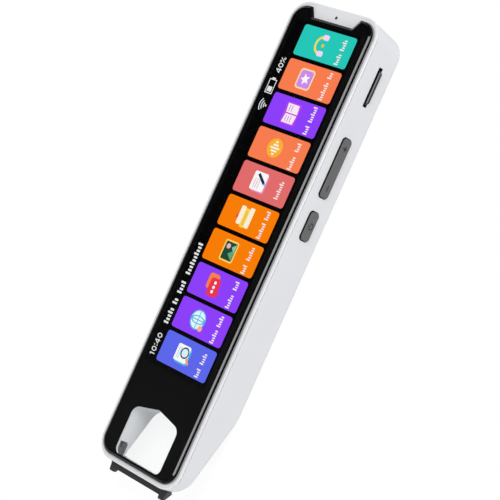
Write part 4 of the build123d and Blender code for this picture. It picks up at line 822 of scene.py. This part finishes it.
# From below it is clear, so that the pen's back shows.
under = add(sweep, "MixShader", links={0: add(sweep, "NewGeometry").outputs["Backfacing"], 1: paper,
                                       2: add(sweep, "BsdfTransparent")})
add(sweep, "OutputMaterial", links={"Surface": under})
floor_mesh = bpy.data.meshes.new("floor")
floor_corners = [(-1, -1), (1, -1), (1, 1), (-1, 1)]
floor_mesh.from_pydata([(x * floor_half, y * floor_half, floor_z) for x, y in floor_corners], [],
                       [(0, 1, 2, 3)])
floor_mesh.materials.append(ground)
floor = bpy.data.objects.new("floor", floor_mesh)
bpy.context.scene.collection.objects.link(floor)

# The room is white to the camera and through glass, and lights matt surfaces at 0.38.  A mirrored
# ray meets white up to 20 degrees over the horizon and a dim ceiling from 44 degrees, where the
# sine of its height is 0.7: 0.02 bright towards the top end and 0.1 towards the tip.
room = bpy.data.worlds.new("room")
bpy.context.scene.world = room
room.use_nodes = True
air = room.node_tree
air.nodes.clear()
rays = add(air, "LightPath")
up = add(air, "SeparateXYZ", links={0: add(air, "TexCoord").outputs["Generated"]})
dusk = add(air, "MapRange", {"From Min": -0.1, "From Max": 0.0, "To Min": 0.1, "To Max": 0.02},
           {"Value": up.outputs["Y"]})
ceiling = add(air, "MapRange", {"From Min": 0.35, "From Max": 0.7, "To Min": 1.0},
              {"Value": up.outputs["Z"], "To Max": dusk})
level = add(air, "Mix", {2: 0.38}, {0: rays.outputs["Is Glossy Ray"], 3: ceiling})
seen = add(air, "Math", {"operation": "MAXIMUM"},
           {0: rays.outputs["Is Camera Ray"], 1: rays.outputs["Is Transmission Ray"]})
shown = add(air, "Mix", {3: 1.0}, {0: seen, 2: level})
backdrop = add(air, "Background", {"Color": (1, 1, 1, 1)}, {"Strength": shown})
add(air, "OutputWorld", links={"Surface": backdrop})


def softbox(name, place, size, watts):
    """A rectangular lamp at place that faces the middle of the pen.  size is its width and length,
    which lie along X and Y for a lamp whose own Y is 0."""
    lamp = bpy.data.lights.new(name, "AREA")
    lamp.shape, lamp.size, lamp.size_y, lamp.energy = "RECTANGLE", *size, watts
    box = bpy.data.objects.new(name, lamp)
    box.location = place
    box.rotation_mode = "QUATERNION"
    box.rotation_quaternion = box.location.to_track_quat("Z", "X")
    bpy.context.scene.collection.objects.link(box)


softbox("strip_light", (0.064, 0.0, 1.0), (0.07, 0.8), 1.2)
softbox("overhead_fill", (0.35, 0.5, 1.0), (0.5, 0.5), 4.5)
softbox("low_side_fill", (1.0, 0.2, 0.27), (0.3, 0.3), 2.7)
softbox("left_fill", (-0.95, 0.3, 0.35), (0.7, 0.7), 0.8)
softbox("end_fill", (0.0, -1.0, 0.3), (0.6, 0.6), 2.4)

# A long lens, 0.53 m from the pen on the keys' side, looks down on it at 49 degrees.
lens = bpy.data.cameras.new("camera")
lens.sensor_width, lens.lens, lens.clip_start = 36.0, 126.96, 0.01
camera = bpy.data.objects.new("camera", lens)
camera.location = (0.350696, -0.009158, 0.399195)
camera.rotation_mode = "QUATERNION"
camera.rotation_quaternion = (0.91415, 0.081725, 0.34739, 0.192279)
bpy.context.scene.collection.objects.link(camera)
bpy.context.scene.camera = camera
bpy.context.scene.view_settings.view_transform = "Standard"
